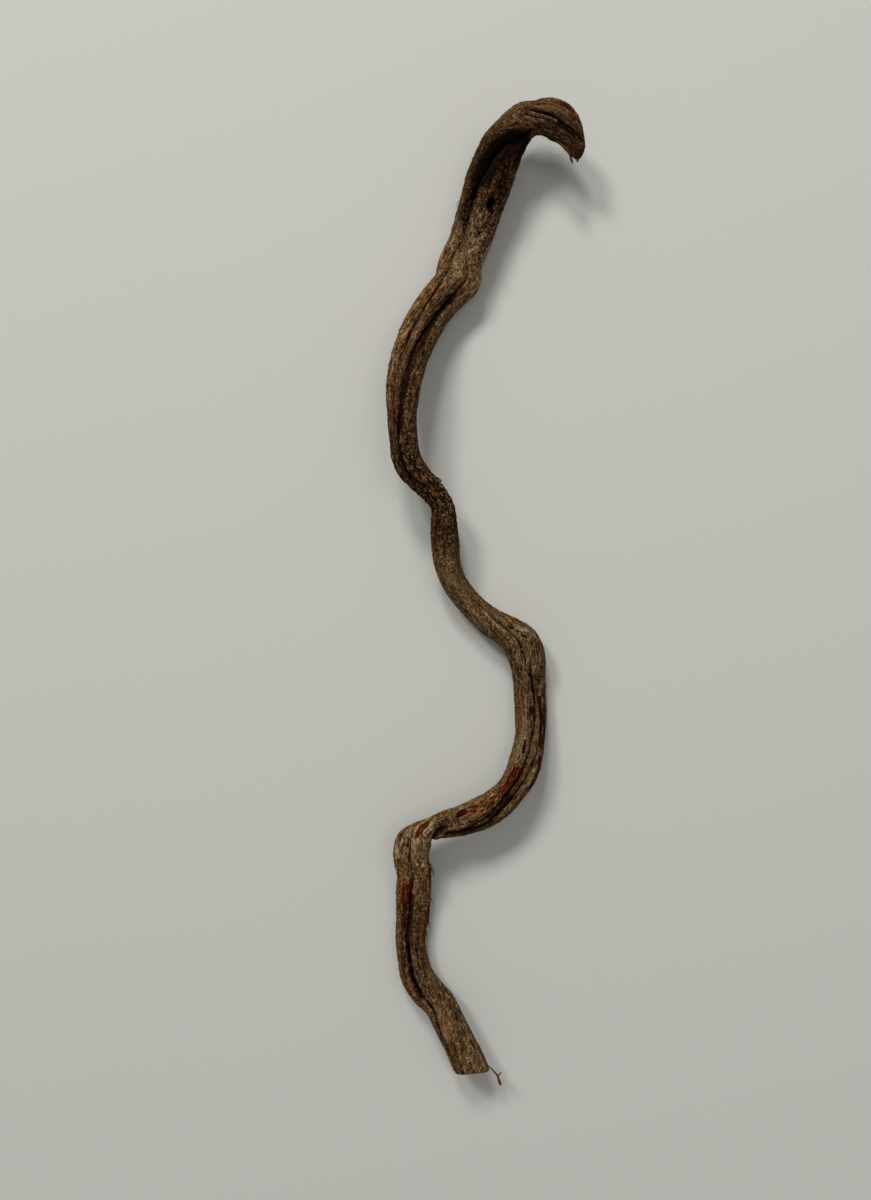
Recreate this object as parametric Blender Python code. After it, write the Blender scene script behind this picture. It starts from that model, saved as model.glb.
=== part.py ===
"""A twisted liana stem, sawn at the foot and broken off at the hook, lying on its side.

The stem is one grown piece. Its section is an oval, parted into lobes by furrows that wind
slowly round it, and is swept along a route that snakes in plan. The route rises clear of the
ground between three low places, where the stem bears on small flats.
Metres, +Z up, the hook towards +Y and the sawn foot towards -Y.
"""

import math

import bmesh
import bpy
import numpy as np
from mathutils import Vector

MM = 0.001

# Route of the middle of the stem, from the broken tip of the hook to the foot:
# x, y, height above the ground, width in plan and thickness, in millimetres.
ROUTE = (
    # hook
    (139, 657, 63, 12, 12),
    (139, 663, 63, 21, 20),
    (138, 671, 62, 28, 26),
    (135, 682, 61, 33, 31),
    (123, 701, 59, 49, 43),
    (111, 713, 58, 54, 48),
    (96, 720, 57, 53, 47),
    (79, 721, 56, 51, 47),
    (63, 719, 54, 58, 51),
    (49, 709, 52, 62, 52),
    (38, 697, 50, 64, 53),
    (28, 685, 47, 67, 54),
    # thick shaft
    (17, 662, 43, 70, 55),
    (6, 633, 38, 74, 57),
    (-3, 605, 34, 71, 56),
    (-13, 571, 31, 67, 54),
    (-24, 538, 28, 66, 54),
    (-38, 509, 26, 70, 56),
    # first low place, at the elbow under the shaft
    (-43, 486, 24, 73, 57),
    (-54, 472, 23, 65, 55),
    (-73, 450, 24, 64, 55),
    (-93, 416, 32, 63, 53),
    (-108, 380, 41, 59, 51),
    (-119, 343, 51, 58, 50),
    # left bend, the highest part
    (-125, 304, 60, 53, 47),
    (-127, 270, 65, 45, 42),
    (-125, 233, 67, 45, 41),
    (-121, 204, 66, 46, 42),
    (-113, 186, 65, 44, 41),
    (-101, 173, 62, 41, 39),
    # waist and slant
    (-82, 154, 56, 39, 37),
    (-66, 132, 50, 39, 37),
    (-63, 103, 44, 42, 39),
    (-61, 70, 38, 44, 39),
    (-57, 39, 33, 43, 39),
    (-44, 8, 28, 40, 37),
    (-21, -21, 24, 40, 37),
    (6, -45, 23, 46, 40),
    # swollen shoulder, then the second low place
    (39, -65, 22, 51, 43),
    (53, -77, 22, 57, 46),
    (62, -93, 21, 59, 47),
    (67, -112, 20, 57, 46),
    (70, -137, 16, 53, 44),
    (71, -160, 16, 51, 43),
    (73, -191, 17, 50, 43),
    (72, -223, 22, 49, 42),
    (67, -253, 28, 51, 43),
    (58, -279, 33, 50, 43),
    (43, -302, 38, 46, 42),
    (23, -322, 42, 50, 43),
    # level run and second elbow
    (-5, -340, 45, 51, 44),
    (-38, -352, 47, 46, 42),
    (-61, -356, 47, 44, 41),
    (-81, -363, 47, 40, 38),
    (-97, -374, 45, 47, 39),
    (-109, -387, 42, 56, 42),
    (-113, -407, 37, 55, 40),
    (-109, -438, 28, 56, 40),
    # third low place
    (-111, -473, 18, 56, 40),
    (-112, -507, 14, 52, 39),
    (-115, -540, 14, 50, 38),
    # strap-like foot, running on past the saw cut
    (-111, -573, 16, 50, 37),
    (-103, -601, 21, 52, 37),
    (-89, -620, 24, 54, 37),
    (-70, -638, 29, 53, 37),
    (-53, -669, 33, 51, 36),
    (-39, -697, 36, 51, 36),
    (-27, -721, 39, 55, 37),
    (-15, -747, 42, 57, 37),
    (-5, -768, 44, 57, 37),
)

# Furrows that wind round the stem, as rows of distance from the hook tip in millimetres, angle
# in degrees (0 at the stem's side, 90 on top), depth and half width in millimetres. They keep
# their order round the section, so that no two cross.
FURROWS = {
    "outer furrow of the level run": (
        (0, -165, 1, 3), (40, -225, 2, 4), (88, -232, 3, 5), (137, -205, 3, 5),
        (200, -160, 2, 5), (300, -145, 4, 5), (442, -135, 4, 5), (541, -125, 4, 5),
        (650, -110, 3, 4), (800, -85, 3, 4), (870, -60, 3, 4), (934, -45, 3, 4),
        (981, -25, 1, 4), (1023, 0, 0, 4), (1060, 25, 0, 3), (1100, 50, 1, 3),
        (1123, 55, 3, 3), (1162, 48, 4, 3), (1188, 50, 4, 3), (1236, 63, 4, 3),
        (1282, 70, 5, 3), (1304, 67, 5, 3), (1341, 46, 4, 3), (1392, 15, 1, 4),
        (1430, -10, 1, 4), (1476, -25, 3, 4), (1550, -30, 4, 4), (1650, -25, 3, 4),
        (1727, 0, 1, 4), (1890, 50, 1, 4),
    ),
    "inner furrow of the level run": (
        (0, -120, 2, 3), (40, -165, 2, 4), (88, -170, 2, 5), (137, -150, 4, 5),
        (200, -110, 4, 5), (300, -85, 4, 5), (442, -75, 4, 5), (541, -70, 4, 5),
        (713, -45, 3, 4), (800, -30, 2, 4), (870, -10, 0, 4), (934, 0, 0, 4),
        (981, 20, 0, 3), (1023, 45, 0, 3), (1060, 70, 0, 3), (1086, 84, 5, 3),
        (1112, 77, 5, 3), (1134, 72, 5, 3), (1162, 76, 4, 3), (1204, 89, 5, 3),
        (1246, 98, 5, 3), (1286, 101, 5, 3), (1306, 94, 5, 3), (1328, 83, 6, 4),
        (1348, 71, 6, 4), (1370, 60, 5, 4), (1392, 45, 4, 4), (1430, 28, 0, 4),
        (1476, 22, 0, 4), (1620, 20, 0, 4), (1680, 30, 1, 3), (1727, 75, 1, 3), (1790, 92, 1, 3),
        (1890, 100, 1, 3),
    ),
    "furrow beside the shoulder and down the foot": (
        (0, -60, 2, 3), (40, -110, 3, 4), (88, -120, 4, 5), (137, -90, 4, 5),
        (200, -50, 4, 5), (300, -35, 4, 5), (368, -35, 3, 5), (541, -30, 4, 5),
        (650, -15, 1, 4), (713, 5, 0, 4), (800, 20, 1, 3), (870, 40, 1, 3),
        (934, 51, 3, 3), (955, 54, 4, 3), (981, 64, 4, 3), (1003, 81, 6, 3),
        (1023, 88, 6, 3), (1049, 101, 5, 3), (1069, 118, 2, 3), (1100, 128, 1, 3),
        (1200, 140, 0, 3), (1300, 160, 1, 3), (1390, 190, 1, 3), (1424, 184, 4, 3),
        (1440, 146, 5, 3), (1452, 109, 6, 3), (1476, 97, 6, 3), (1546, 99, 5, 3),
        (1582, 104, 5, 3), (1608, 108, 6, 3), (1635, 102, 6, 4), (1682, 107, 6, 4),
        (1707, 112, 5, 3), (1740, 126, 5, 3), (1768, 141, 5, 3), (1890, 155, 5, 3),
    ),
    "middle furrow of the left bend": (
        (0, 10, 2, 3), (40, -45, 3, 4), (55, -60, 4, 4), (88, -60, 4, 5),
        (137, -20, 1, 5), (168, 20, 1, 5), (200, 40, 0, 4), (250, 60, 0, 3),
        (300, 75, 0, 3), (336, 82, 1, 3), (368, 68, 3, 3), (403, 67, 7, 4),
        (442, 66, 7, 4), (476, 73, 6, 4), (511, 79, 5, 3), (541, 82, 5, 3),
        (595, 94, 5, 3), (654, 109, 5, 3), (696, 112, 4, 3), (740, 126, 2, 3),
        (770, 136, 2, 3), (830, 152, 1, 4), (900, 165, 1, 4), (1000, 186, 2, 5),
        (1100, 205, 4, 5), (1200, 215, 4, 5), (1300, 225, 4, 5), (1400, 232, 4, 5),
        (1476, 220, 4, 5), (1550, 215, 4, 5), (1650, 222, 4, 5), (1727, 235, 4, 5),
        (1890, 265, 4, 5),
    ),
    "hollow inside the hook and furrow down the shaft": (
        (0, 70, 0, 4), (23, 55, 0, 4), (40, 20, 1, 5), (55, 5, 1, 6),
        (88, 8, 3, 7), (107, 20, 6, 9), (137, 45, 10, 9), (152, 72, 12, 8),
        (168, 92, 13, 7), (184, 103, 13, 6), (220, 109, 11, 5), (271, 115, 8, 5),
        (314, 109, 5, 4), (348, 112, 5, 4), (389, 120, 5, 3), (433, 108, 6, 3),
        (500, 113, 5, 3), (554, 121, 4, 3), (613, 130, 3, 3), (650, 138, 2, 3),
        (690, 150, 1, 3), (770, 178, 1, 4), (830, 200, 3, 5), (900, 218, 4, 5),
        (1000, 235, 5, 5), (1200, 262, 5, 5), (1300, 272, 5, 5), (1400, 275, 5, 5),
        (1550, 270, 4, 5), (1650, 275, 4, 5), (1727, 290, 4, 5), (1890, 320, 4, 5),
    ),
    "furrow under the raised lobe of the hook": (
        (0, 165, 1, 3), (23, 139, 3, 3), (30, 112, 4, 3), (40, 90, 4, 3),
        (55, 77, 4, 3), (70, 74, 4, 3), (88, 78, 4, 3), (104, 91, 3, 3),
        (120, 105, 0, 3), (168, 132, 0, 4), (236, 150, 1, 4), (300, 160, 1, 4),
        (388, 172, 2, 4), (433, 172, 1, 4), (541, 188, 1, 4), (650, 210, 3, 4),
        (720, 222, 4, 5), (800, 238, 4, 5), (900, 258, 4, 5), (1000, 275, 4, 5),
        (1100, 290, 4, 5), (1200, 305, 4, 5), (1300, 318, 4, 5), (1400, 322, 4, 5),
        (1550, 312, 4, 5), (1650, 318, 4, 5), (1727, 332, 3, 5), (1890, 365, 2, 5),
    ),
}

# Mesh columns from each furrow to the next one round the section.
COLUMNS = (4, 5, 7, 5, 5, 6)

# Swellings and hollows: distance and angle of the middle, height (below nought for a hollow),
# length towards the hook, length towards the foot and half width round the stem.
KNOTS = {
    "raised outer lobe of the hook": (94, 150, 3, 60, 6, 18),
    "knot hole in the shaft": (255, 64, -11, 10, 8, 6),
    "knob at the first elbow": (368, 3, 2, 12, 10, 9),
    "notch above the left bend": (388, 165, -2, 12, 12, 9),
    "swollen shoulder": (1074, 45, 3, 55, 12, 18),
    "knuckle under the shoulder": (993, 180, 2, 14, 8, 9),
    "lobe that laps over the second elbow": (1430, 80, 4, 12, 40, 17),
}

# Creases that run across the stem: distance and angle along the bottom, by falling angle, then
# the depth and the half width on the side of the hook and on the side of the foot.
CREASES = {
    "ledge where the shoulder ends": (
        ((1080, 97), (1090, 74), (1100, 42)),
        3, 7, 7,
    ),
    "fold at the second elbow": (
        ((1372, 130), (1389, 114), (1398, 106), (1406, 90), (1413, 78), (1422, 60),
         (1430, 20), (1434, -25)),
        7, 6, 4,
    ),
}

VALLEY_SHARE = 0.45     # part of a furrow's depth that belongs to the broad valley round it
VALLEY_WIDTH = 2.6      # half width of that valley, in half widths of the furrow
FULL_RADIUS = 20        # on a thinner stretch the relief is shallower in proportion
UNEVENNESS = 0.6        # gentle waves over the whole surface
CROWDING = 0.55         # how much closer columns stand beside a furrow than between two

RING_STEP = 13          # from one section to the next on a straight stretch
RING_TURN = 0.14        # most that the stem turns between two sections, in radians
LEAST_STEP = 6
TURN_REACH = 16         # a section squares up to the route from this far behind to this far ahead

# Distances of the knot hole, the ledge and the fold, where sections stand at the least step.
CLOSE_PLACES = (254, 1079, 1412)
CLOSE_REACH = 20

SAW_POINT = (-19, -741, 42)
SAW_FACING = (0.09, -0.90, 0.42)

BARK_COLOUR = (0.105, 0.068, 0.040, 1)
BARK_ROUGHNESS = 0.9


def curve_through(rows, places):
    """Smooth curve through rows, whose first column is the place along it."""
    rows = np.asarray(rows, float)
    knots = rows[:, 0]
    values = rows[:, 1:]
    slopes = np.gradient(values, knots, axis=0)
    places = np.clip(places, knots[0], knots[-1])
    span = np.clip(np.searchsorted(knots, places, side="right") - 1, 0, len(knots) - 2)
    length = (knots[span + 1] - knots[span])[:, None]
    t = (places - knots[span])[:, None] / length
    return (
        values[span] * (2 * t**3 - 3 * t**2 + 1)
        + slopes[span] * length * (t**3 - 2 * t**2 + t)
        + values[span + 1] * (3 * t**2 - 2 * t**3)
        + slopes[span + 1] * length * (t**3 - t**2)
    )


def unit(vectors):
    return vectors / np.linalg.norm(vectors, axis=-1, keepdims=True)


def fine_route():
    """Distance from the hook tip and the route's row, every half millimetre or so."""
    rows = np.asarray(ROUTE, float)
    chords = np.linalg.norm(np.diff(rows[:, :3], axis=0), axis=1)
    chainage = np.r_[0, np.cumsum(chords)]
    places = np.linspace(0, chainage[-1], 4000)
    fine = curve_through(np.column_stack([chainage, rows]), places)
    steps = np.linalg.norm(np.diff(fine[:, :3], axis=0), axis=1)
    return np.r_[0, np.cumsum(steps)], fine


def directions(places, distance, fine):
    """Direction of the route at each place, from a chord that reaches past it both ways."""
    behind = [np.interp(places - TURN_REACH, distance, c) for c in fine[:, :3].T]
    ahead = [np.interp(places + TURN_REACH, distance, c) for c in fine[:, :3].T]
    return unit(np.column_stack(ahead) - np.column_stack(behind))


def ring_distances(distance, fine):
    """Distances of the sections, closer together at bends and at the close places."""
    forward = directions(distance, distance, fine)
    bend = np.linalg.norm(np.gradient(forward, distance, axis=0), axis=1)
    step = np.clip(RING_TURN / np.maximum(bend, 1e-6), LEAST_STEP, RING_STEP)
    for place in CLOSE_PLACES:
        step = np.where(abs(distance - place) < CLOSE_REACH, LEAST_STEP, step)
    count = np.r_[0, np.cumsum(np.diff(distance) / step[1:])]
    return np.interp(np.linspace(0, count[-1], round(count[-1]) + 1), count, distance)


def section_frames(places, distance, fine):
    """Middle, side and upward directions, half width and half thickness of each section."""
    rows = np.column_stack([np.interp(places, distance, c) for c in fine.T])
    forward = directions(places, distance, fine)
    up = unit(np.array([0.0, 0.0, 1.0]) - forward * forward[:, 2:3])
    side = np.cross(up, forward)
    return rows[:, :3], side, up, rows[:, 3] / 2, rows[:, 4] / 2


def furrow_lines(places):
    """Angle in radians, depth and half width of every furrow at each place."""
    lines = []
    for rows in FURROWS.values():
        line = curve_through(rows, places)
        lines.append((np.radians(line[:, 0]), np.maximum(line[:, 1], 0), line[:, 2]))
    return lines


def column_angles(lines):
    """Angle of each mesh column at each place. Every furrow's bottom is a column."""
    bottoms = [angle for angle, _, _ in lines]
    bottoms.append(bottoms[0] + 2 * math.pi)
    columns = []
    for here, after, count in zip(bottoms, bottoms[1:], COLUMNS):
        for column in range(count):
            share = column / count
            share -= CROWDING * math.sin(2 * math.pi * share) / (2 * math.pi)
            columns.append(here + share * (after - here))
    return np.column_stack(columns)


def bell(offset, width):
    return np.exp(-((offset / width) ** 2))


def around(angle, centre):
    """Signed difference of two angles, within half a turn."""
    return (angle - centre + math.pi) % (2 * math.pi) - math.pi


def crease_offset(line, places, angles, radius):
    """Distance over the surface to a crease's bottom, below nought on the side of the hook."""
    nearest = np.full(angles.shape, np.inf)
    for (start, start_angle), (end, end_angle) in zip(line, line[1:]):
        along = places[:, None] - start
        across = around(angles, math.radians(start_angle)) * radius
        run = end - start
        rise = math.radians(end_angle - start_angle) * radius
        t = np.clip((along * run + across * rise) / (run**2 + rise**2), 0, 1)
        gap = np.hypot(along - t * run, across - t * rise)
        gap = np.where(across * run > along * rise, gap, -gap)
        nearest = np.where(abs(gap) < abs(nearest), gap, nearest)
    return nearest


def relief(places, angles, lines, radius):
    """Height of the surface over the plain oval, in millimetres."""
    radius = radius[:, None]
    height = np.zeros(angles.shape)
    for bottom, depth, width in lines:
        gap = around(angles, bottom[:, None]) * radius
        groove = (1 - VALLEY_SHARE) * bell(gap, width[:, None])
        valley = VALLEY_SHARE * bell(gap, width[:, None] * VALLEY_WIDTH)
        height -= depth[:, None] * (groove + valley)
    for place, angle, rise, before, after, width in KNOTS.values():
        along = places[:, None] - place
        gap = around(angles, math.radians(angle)) * radius
        length = np.where(along < 0, before, after)
        height += rise * bell(along, length) * bell(gap, width)
    for line, depth, before, after in CREASES.values():
        gap = crease_offset(line, places, angles, radius)
        height -= depth * bell(gap, np.where(gap < 0, before, after))
    twist = angles - lines[0][0][:, None]
    height += UNEVENNESS * np.sin(3 * twist + places[:, None] / 31)
    height += UNEVENNESS * np.sin(2 * angles - places[:, None] / 17)
    return height * np.minimum(radius / FULL_RADIUS, 1)


def stem_rings():
    """Points of every section, from the hook tip to past the saw cut, in millimetres."""
    distance, fine = fine_route()
    places = ring_distances(distance, fine)
    middle, side, up, half_width, half_thickness = section_frames(places, distance, fine)
    lines = furrow_lines(places)
    angles = column_angles(lines)
    height = relief(places, angles, lines, (half_width + half_thickness) / 2)
    half_width = half_width[:, None]
    half_thickness = half_thickness[:, None]
    across = half_width * np.cos(angles)
    upward = half_thickness * np.sin(angles)
    slope = np.hypot(half_thickness * np.cos(angles), half_width * np.sin(angles))
    across = across + height * half_thickness * np.cos(angles) / slope
    upward = upward + height * half_width * np.sin(angles) / slope
    points = middle[:, None, :] + across[..., None] * side[:, None, :]
    points = points + upward[..., None] * up[:, None, :]
    points[..., 2] = np.maximum(points[..., 2], 0)
    return points


def add_stem(mesh, rings):
    """Skins the rings with faces and closes both ends with a fan."""
    loops = [[mesh.verts.new(point * MM) for point in ring] for ring in rings]
    count = len(loops[0])
    for ring, following in zip(loops, loops[1:]):
        for i in range(count):
            j = (i + 1) % count
            mesh.faces.new((ring[i], ring[j], following[j], following[i]))
    for loop, ring in ((loops[0], rings[0]), (loops[-1], rings[-1])):
        tip = mesh.verts.new(ring.mean(axis=0) * MM)
        for i in range(count):
            mesh.faces.new((loop[i], loop[(i + 1) % count], tip))
    bmesh.ops.recalc_face_normals(mesh, faces=mesh.faces)


def saw_foot(mesh):
    """Cuts the foot off along the saw's plane and fills the cut face."""
    cut = bmesh.ops.bisect_plane(
        mesh,
        geom=mesh.verts[:] + mesh.edges[:] + mesh.faces[:],
        dist=1e-5,
        plane_co=Vector(SAW_POINT) * MM,
        plane_no=Vector(SAW_FACING),
        clear_outer=True,
    )
    rim = [item for item in cut["geom_cut"] if isinstance(item, bmesh.types.BMEdge)]
    bmesh.ops.holes_fill(mesh, edges=rim, sides=len(rim))


def centre_over_origin(mesh):
    """Moves the mesh in plan so that its box is centred on the origin."""
    xs = [vertex.co.x for vertex in mesh.verts]
    ys = [vertex.co.y for vertex in mesh.verts]
    shift = Vector((-(min(xs) + max(xs)) / 2, -(min(ys) + max(ys)) / 2, 0))
    bmesh.ops.translate(mesh, verts=mesh.verts, vec=shift)


def bark_material():
    material = bpy.data.materials.new("bark")
    material.use_nodes = True
    shader = material.node_tree.nodes["Principled BSDF"]
    shader.inputs["Base Color"].default_value = BARK_COLOUR
    shader.inputs["Roughness"].default_value = BARK_ROUGHNESS
    shader.inputs["Metallic"].default_value = 0
    material.diffuse_color = BARK_COLOUR
    return material


def main():
    for item in list(bpy.data.objects):
        bpy.data.objects.remove(item)
    mesh = bmesh.new()
    add_stem(mesh, stem_rings())
    saw_foot(mesh)
    centre_over_origin(mesh)
    data = bpy.data.meshes.new("liana_vine")
    mesh.to_mesh(data)
    mesh.free()
    data.shade_smooth()
    data.set_sharp_from_angle(angle=math.radians(50))
    data.materials.append(bark_material())
    stem = bpy.data.objects.new("liana_vine", data)
    bpy.context.scene.collection.objects.link(stem)


main()
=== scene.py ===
import math

import bpy
import numpy as np
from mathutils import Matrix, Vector


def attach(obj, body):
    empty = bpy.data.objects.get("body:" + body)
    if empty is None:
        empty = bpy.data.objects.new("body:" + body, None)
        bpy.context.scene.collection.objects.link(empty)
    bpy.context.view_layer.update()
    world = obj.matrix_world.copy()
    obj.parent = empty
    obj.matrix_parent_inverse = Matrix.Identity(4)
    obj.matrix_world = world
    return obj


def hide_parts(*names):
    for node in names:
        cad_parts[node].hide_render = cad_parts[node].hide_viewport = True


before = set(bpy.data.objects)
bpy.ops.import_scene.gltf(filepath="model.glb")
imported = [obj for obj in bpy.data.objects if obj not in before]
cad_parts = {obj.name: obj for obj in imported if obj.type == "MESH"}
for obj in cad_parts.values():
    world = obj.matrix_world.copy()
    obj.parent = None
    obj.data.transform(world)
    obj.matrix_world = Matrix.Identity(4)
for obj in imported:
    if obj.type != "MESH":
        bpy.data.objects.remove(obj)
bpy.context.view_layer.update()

# A twisted liana stem, sawn at the foot and broken at the hook, lying on a pale floor and
# seen from straight above. Lengths in the tables are millimetres, angles are degrees.
# "Distance" runs along the stem from the hook tip, and an angle goes round it: 0 at its side,
# 90 on top.

mm = 0.001
print("frame loaded")


# Helpers for node trees. A wire is an output of a node, and + - * / and abs() on it add the
# Math nodes that work it out.

class Wire:
    def __init__(self, socket):
        self.socket, self.tree = socket, socket.id_data

    def all(self):
        return {s.name: Wire(s) for s in self.socket.node.outputs if s.enabled}

    def __add__(self, other):
        return calc("ADD", self, other)

    def __sub__(self, other):
        return calc("SUBTRACT", self, other)

    def __rsub__(self, other):
        return calc("SUBTRACT", other, self)

    def __mul__(self, other):
        return calc("MULTIPLY", self, other)

    def __truediv__(self, other):
        return calc("DIVIDE", self, other)

    def __abs__(self):
        return calc("ABSOLUTE", self)


def feed(socket, value):
    if isinstance(value, Wire):
        value.tree.links.new(value.socket, socket)
    elif socket.type == "RGBA":
        socket.default_value = (*value, 1)
    else:
        socket.default_value = value


def put(tree, kind, inputs=(), output=None, **settings):
    # a new node, its inputs fed by name or in order; gives one output, the first if none is named
    node = tree.nodes.new(kind)
    for key, value in settings.items():
        setattr(node, key, value)
    inUse = [s for s in node.inputs if s.enabled]
    if isinstance(inputs, dict):
        inUse = [next(s for s in inUse if s.name == name) for name in inputs]
        inputs = inputs.values()
    for socket, value in zip(inUse, inputs):
        feed(socket, value)
    return Wire(next(s for s in node.outputs if s.enabled and output in (None, s.name)))


def treeOf(values):
    return next(value.tree for value in values if isinstance(value, Wire))


def calc(operation, *values):
    return put(treeOf(values), "ShaderNodeMath", values, operation=operation)


def vectorCalc(operation, *values):
    return put(treeOf(values), "ShaderNodeVectorMath", values, operation=operation)


def combine(*values):
    return put(treeOf(values), "ShaderNodeCombineXYZ", values)


def parts(vector):
    return put(vector.tree, "ShaderNodeSeparateXYZ", (vector,)).all().values()


def linear(value, low, high, toLow=0.0, toHigh=1.0, how="LINEAR"):
    values = (value, low, high, toLow, toHigh)
    return put(value.tree, "ShaderNodeMapRange", values, interpolation_type=how)


def smooth(*values):
    return linear(*values, how="SMOOTHSTEP")


def centred(value, reach):
    # from 0..1 to -reach..reach
    return calc("MULTIPLY_ADD", value, 2 * reach, -reach)


def voronoi(vector, scale, feature="F1"):
    values = {"Vector": vector, "Scale": scale}
    return put(vector.tree, "ShaderNodeTexVoronoi", values, feature=feature)


def stretch(grain, along, shift):
    # the grain pattern drawn out along the stem
    scaled = vectorCalc("MULTIPLY", grain, (1.0, 1.0, along))
    return vectorCalc("ADD", scaled, (shift, shift * 1.7, shift * 2.3))


def newTree(kind, name, inputs):
    # a node group and its inputs as wires; a socket's kind may stand in place of its value
    tree = bpy.data.node_groups.new(name, kind)
    for label, value in inputs.items():
        plain = "Int" if isinstance(value, int) else "Float"
        socketType = "NodeSocket" + (value if isinstance(value, str) else plain)
        socket = tree.interface.new_socket(name=label, in_out="INPUT", socket_type=socketType)
        if not isinstance(value, str):
            socket.default_value = value
    return tree, put(tree, "NodeGroupInput").all()


def giveOut(tree, socketType, results):
    for label in results:
        tree.interface.new_socket(name=label, in_out="OUTPUT", socket_type=socketType)
    last = tree.nodes.new("NodeGroupOutput")
    for label, wire in results.items():
        feed(last.inputs[label], wire)
    return tree


def named(tree, name, kind="FLOAT_VECTOR"):
    return put(tree, "GeometryNodeInputNamedAttribute", (name,), data_type=kind)


def endTree(tree, geometry, material):
    # a plain mesh with nothing under the floor
    geometry = put(tree, "GeometryNodeRealizeInstances", (geometry,))
    x, y, z = parts(put(tree, "GeometryNodeInputPosition"))
    place = combine(x, y, calc("MAXIMUM", z, 0.0))
    geometry = put(tree, "GeometryNodeSetPosition", {"Geometry": geometry, "Position": place})
    geometry = put(tree, "GeometryNodeSetMaterial", {"Geometry": geometry, "Material": material})
    return giveOut(tree, "NodeSocketGeometry", {"Geometry": geometry})


def objectOf(name, data):
    item = bpy.data.objects.new(name, data)
    bpy.context.scene.collection.objects.link(item)
    return item


def makePiece(name, mesh, tree, values):
    # runs a geometry tree on the mesh and keeps what it makes as a plain mesh
    piece = objectOf(name, mesh)
    modifier = piece.modifiers.new(name, "NODES")
    modifier.node_group = tree
    for item in tree.interface.items_tree:
        if item.in_out == "INPUT" and item.name in values:
            modifier[item.identifier] = values[item.name]
    bpy.context.view_layer.update()
    graph = bpy.context.evaluated_depsgraph_get()
    made = bpy.data.meshes.new_from_object(
        piece.evaluated_get(graph), preserve_all_data_layers=True, depsgraph=graph
    )
    piece.modifiers.clear()
    piece.data = made
    made.name = name
    made.shade_smooth()
    print(name, "made,", sum(len(face.vertices) - 2 for face in made.polygons), "triangles")
    return piece


def hold(mesh, name, values):
    # a named value at every vertex, one number or three
    values = np.asarray(values, np.float32).reshape(len(mesh.vertices), -1)
    kind, slot = ("FLOAT_VECTOR", "vector") if values.shape[1] == 3 else ("FLOAT", "value")
    mesh.attributes.new(name, kind, "POINT").data.foreach_set(slot, values.ravel())


# The stem's route: x, y, height above the floor, width in plan and thickness
route = (
    (139, 657, 63, 12, 12), (139, 663, 63, 21, 20), (138, 671, 62, 28, 26),
    (135, 682, 61, 33, 31), (123, 701, 59, 49, 43), (111, 713, 58, 54, 48),
    (96, 720, 57, 53, 47), (79, 721, 56, 51, 47), (63, 719, 54, 58, 51),
    (49, 709, 52, 62, 52), (38, 697, 50, 64, 53), (28, 685, 47, 67, 54),
    (17, 662, 43, 70, 55), (6, 633, 38, 74, 57), (-3, 605, 34, 71, 56),
    (-13, 571, 31, 67, 54), (-24, 538, 28, 66, 54), (-38, 509, 26, 70, 56),
    (-43, 486, 24, 73, 57), (-54, 472, 23, 65, 55), (-73, 450, 24, 64, 55),
    (-93, 416, 32, 63, 53), (-108, 380, 41, 59, 51), (-119, 343, 51, 58, 50),
    (-125, 304, 60, 53, 47), (-127, 270, 65, 45, 42), (-125, 233, 67, 45, 41),
    (-121, 204, 66, 46, 42), (-113, 186, 65, 44, 41), (-101, 173, 62, 41, 39),
    (-82, 154, 56, 39, 37), (-66, 132, 50, 39, 37), (-63, 103, 44, 42, 39),
    (-61, 70, 38, 44, 39), (-57, 39, 33, 43, 39), (-44, 8, 28, 40, 37),
    (-21, -21, 24, 40, 37), (6, -45, 23, 46, 40), (39, -65, 22, 51, 43),
    (53, -77, 22, 57, 46), (62, -93, 21, 59, 47), (67, -112, 20, 57, 46),
    (70, -137, 16, 53, 44), (71, -160, 16, 51, 43), (73, -191, 17, 50, 43),
    (72, -223, 22, 49, 42), (67, -253, 28, 51, 43), (58, -279, 33, 50, 43),
    (43, -302, 38, 46, 42), (23, -322, 42, 50, 43), (-5, -340, 45, 51, 44),
    (-38, -352, 47, 46, 42), (-61, -356, 47, 44, 41), (-81, -363, 47, 40, 38),
    (-97, -374, 45, 47, 39), (-109, -387, 42, 56, 42), (-113, -407, 37, 55, 40),
    (-109, -438, 28, 56, 40), (-111, -473, 18, 56, 40), (-112, -507, 14, 52, 39),
    (-115, -540, 14, 50, 38), (-111, -573, 16, 50, 37), (-103, -601, 21, 52, 37),
    (-89, -620, 24, 54, 37), (-70, -638, 29, 53, 37), (-53, -669, 33, 51, 36),
    (-39, -697, 36, 51, 36), (-27, -721, 39, 55, 37), (-15, -747, 42, 57, 37),
    (-5, -768, 44, 57, 37),
)

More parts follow.
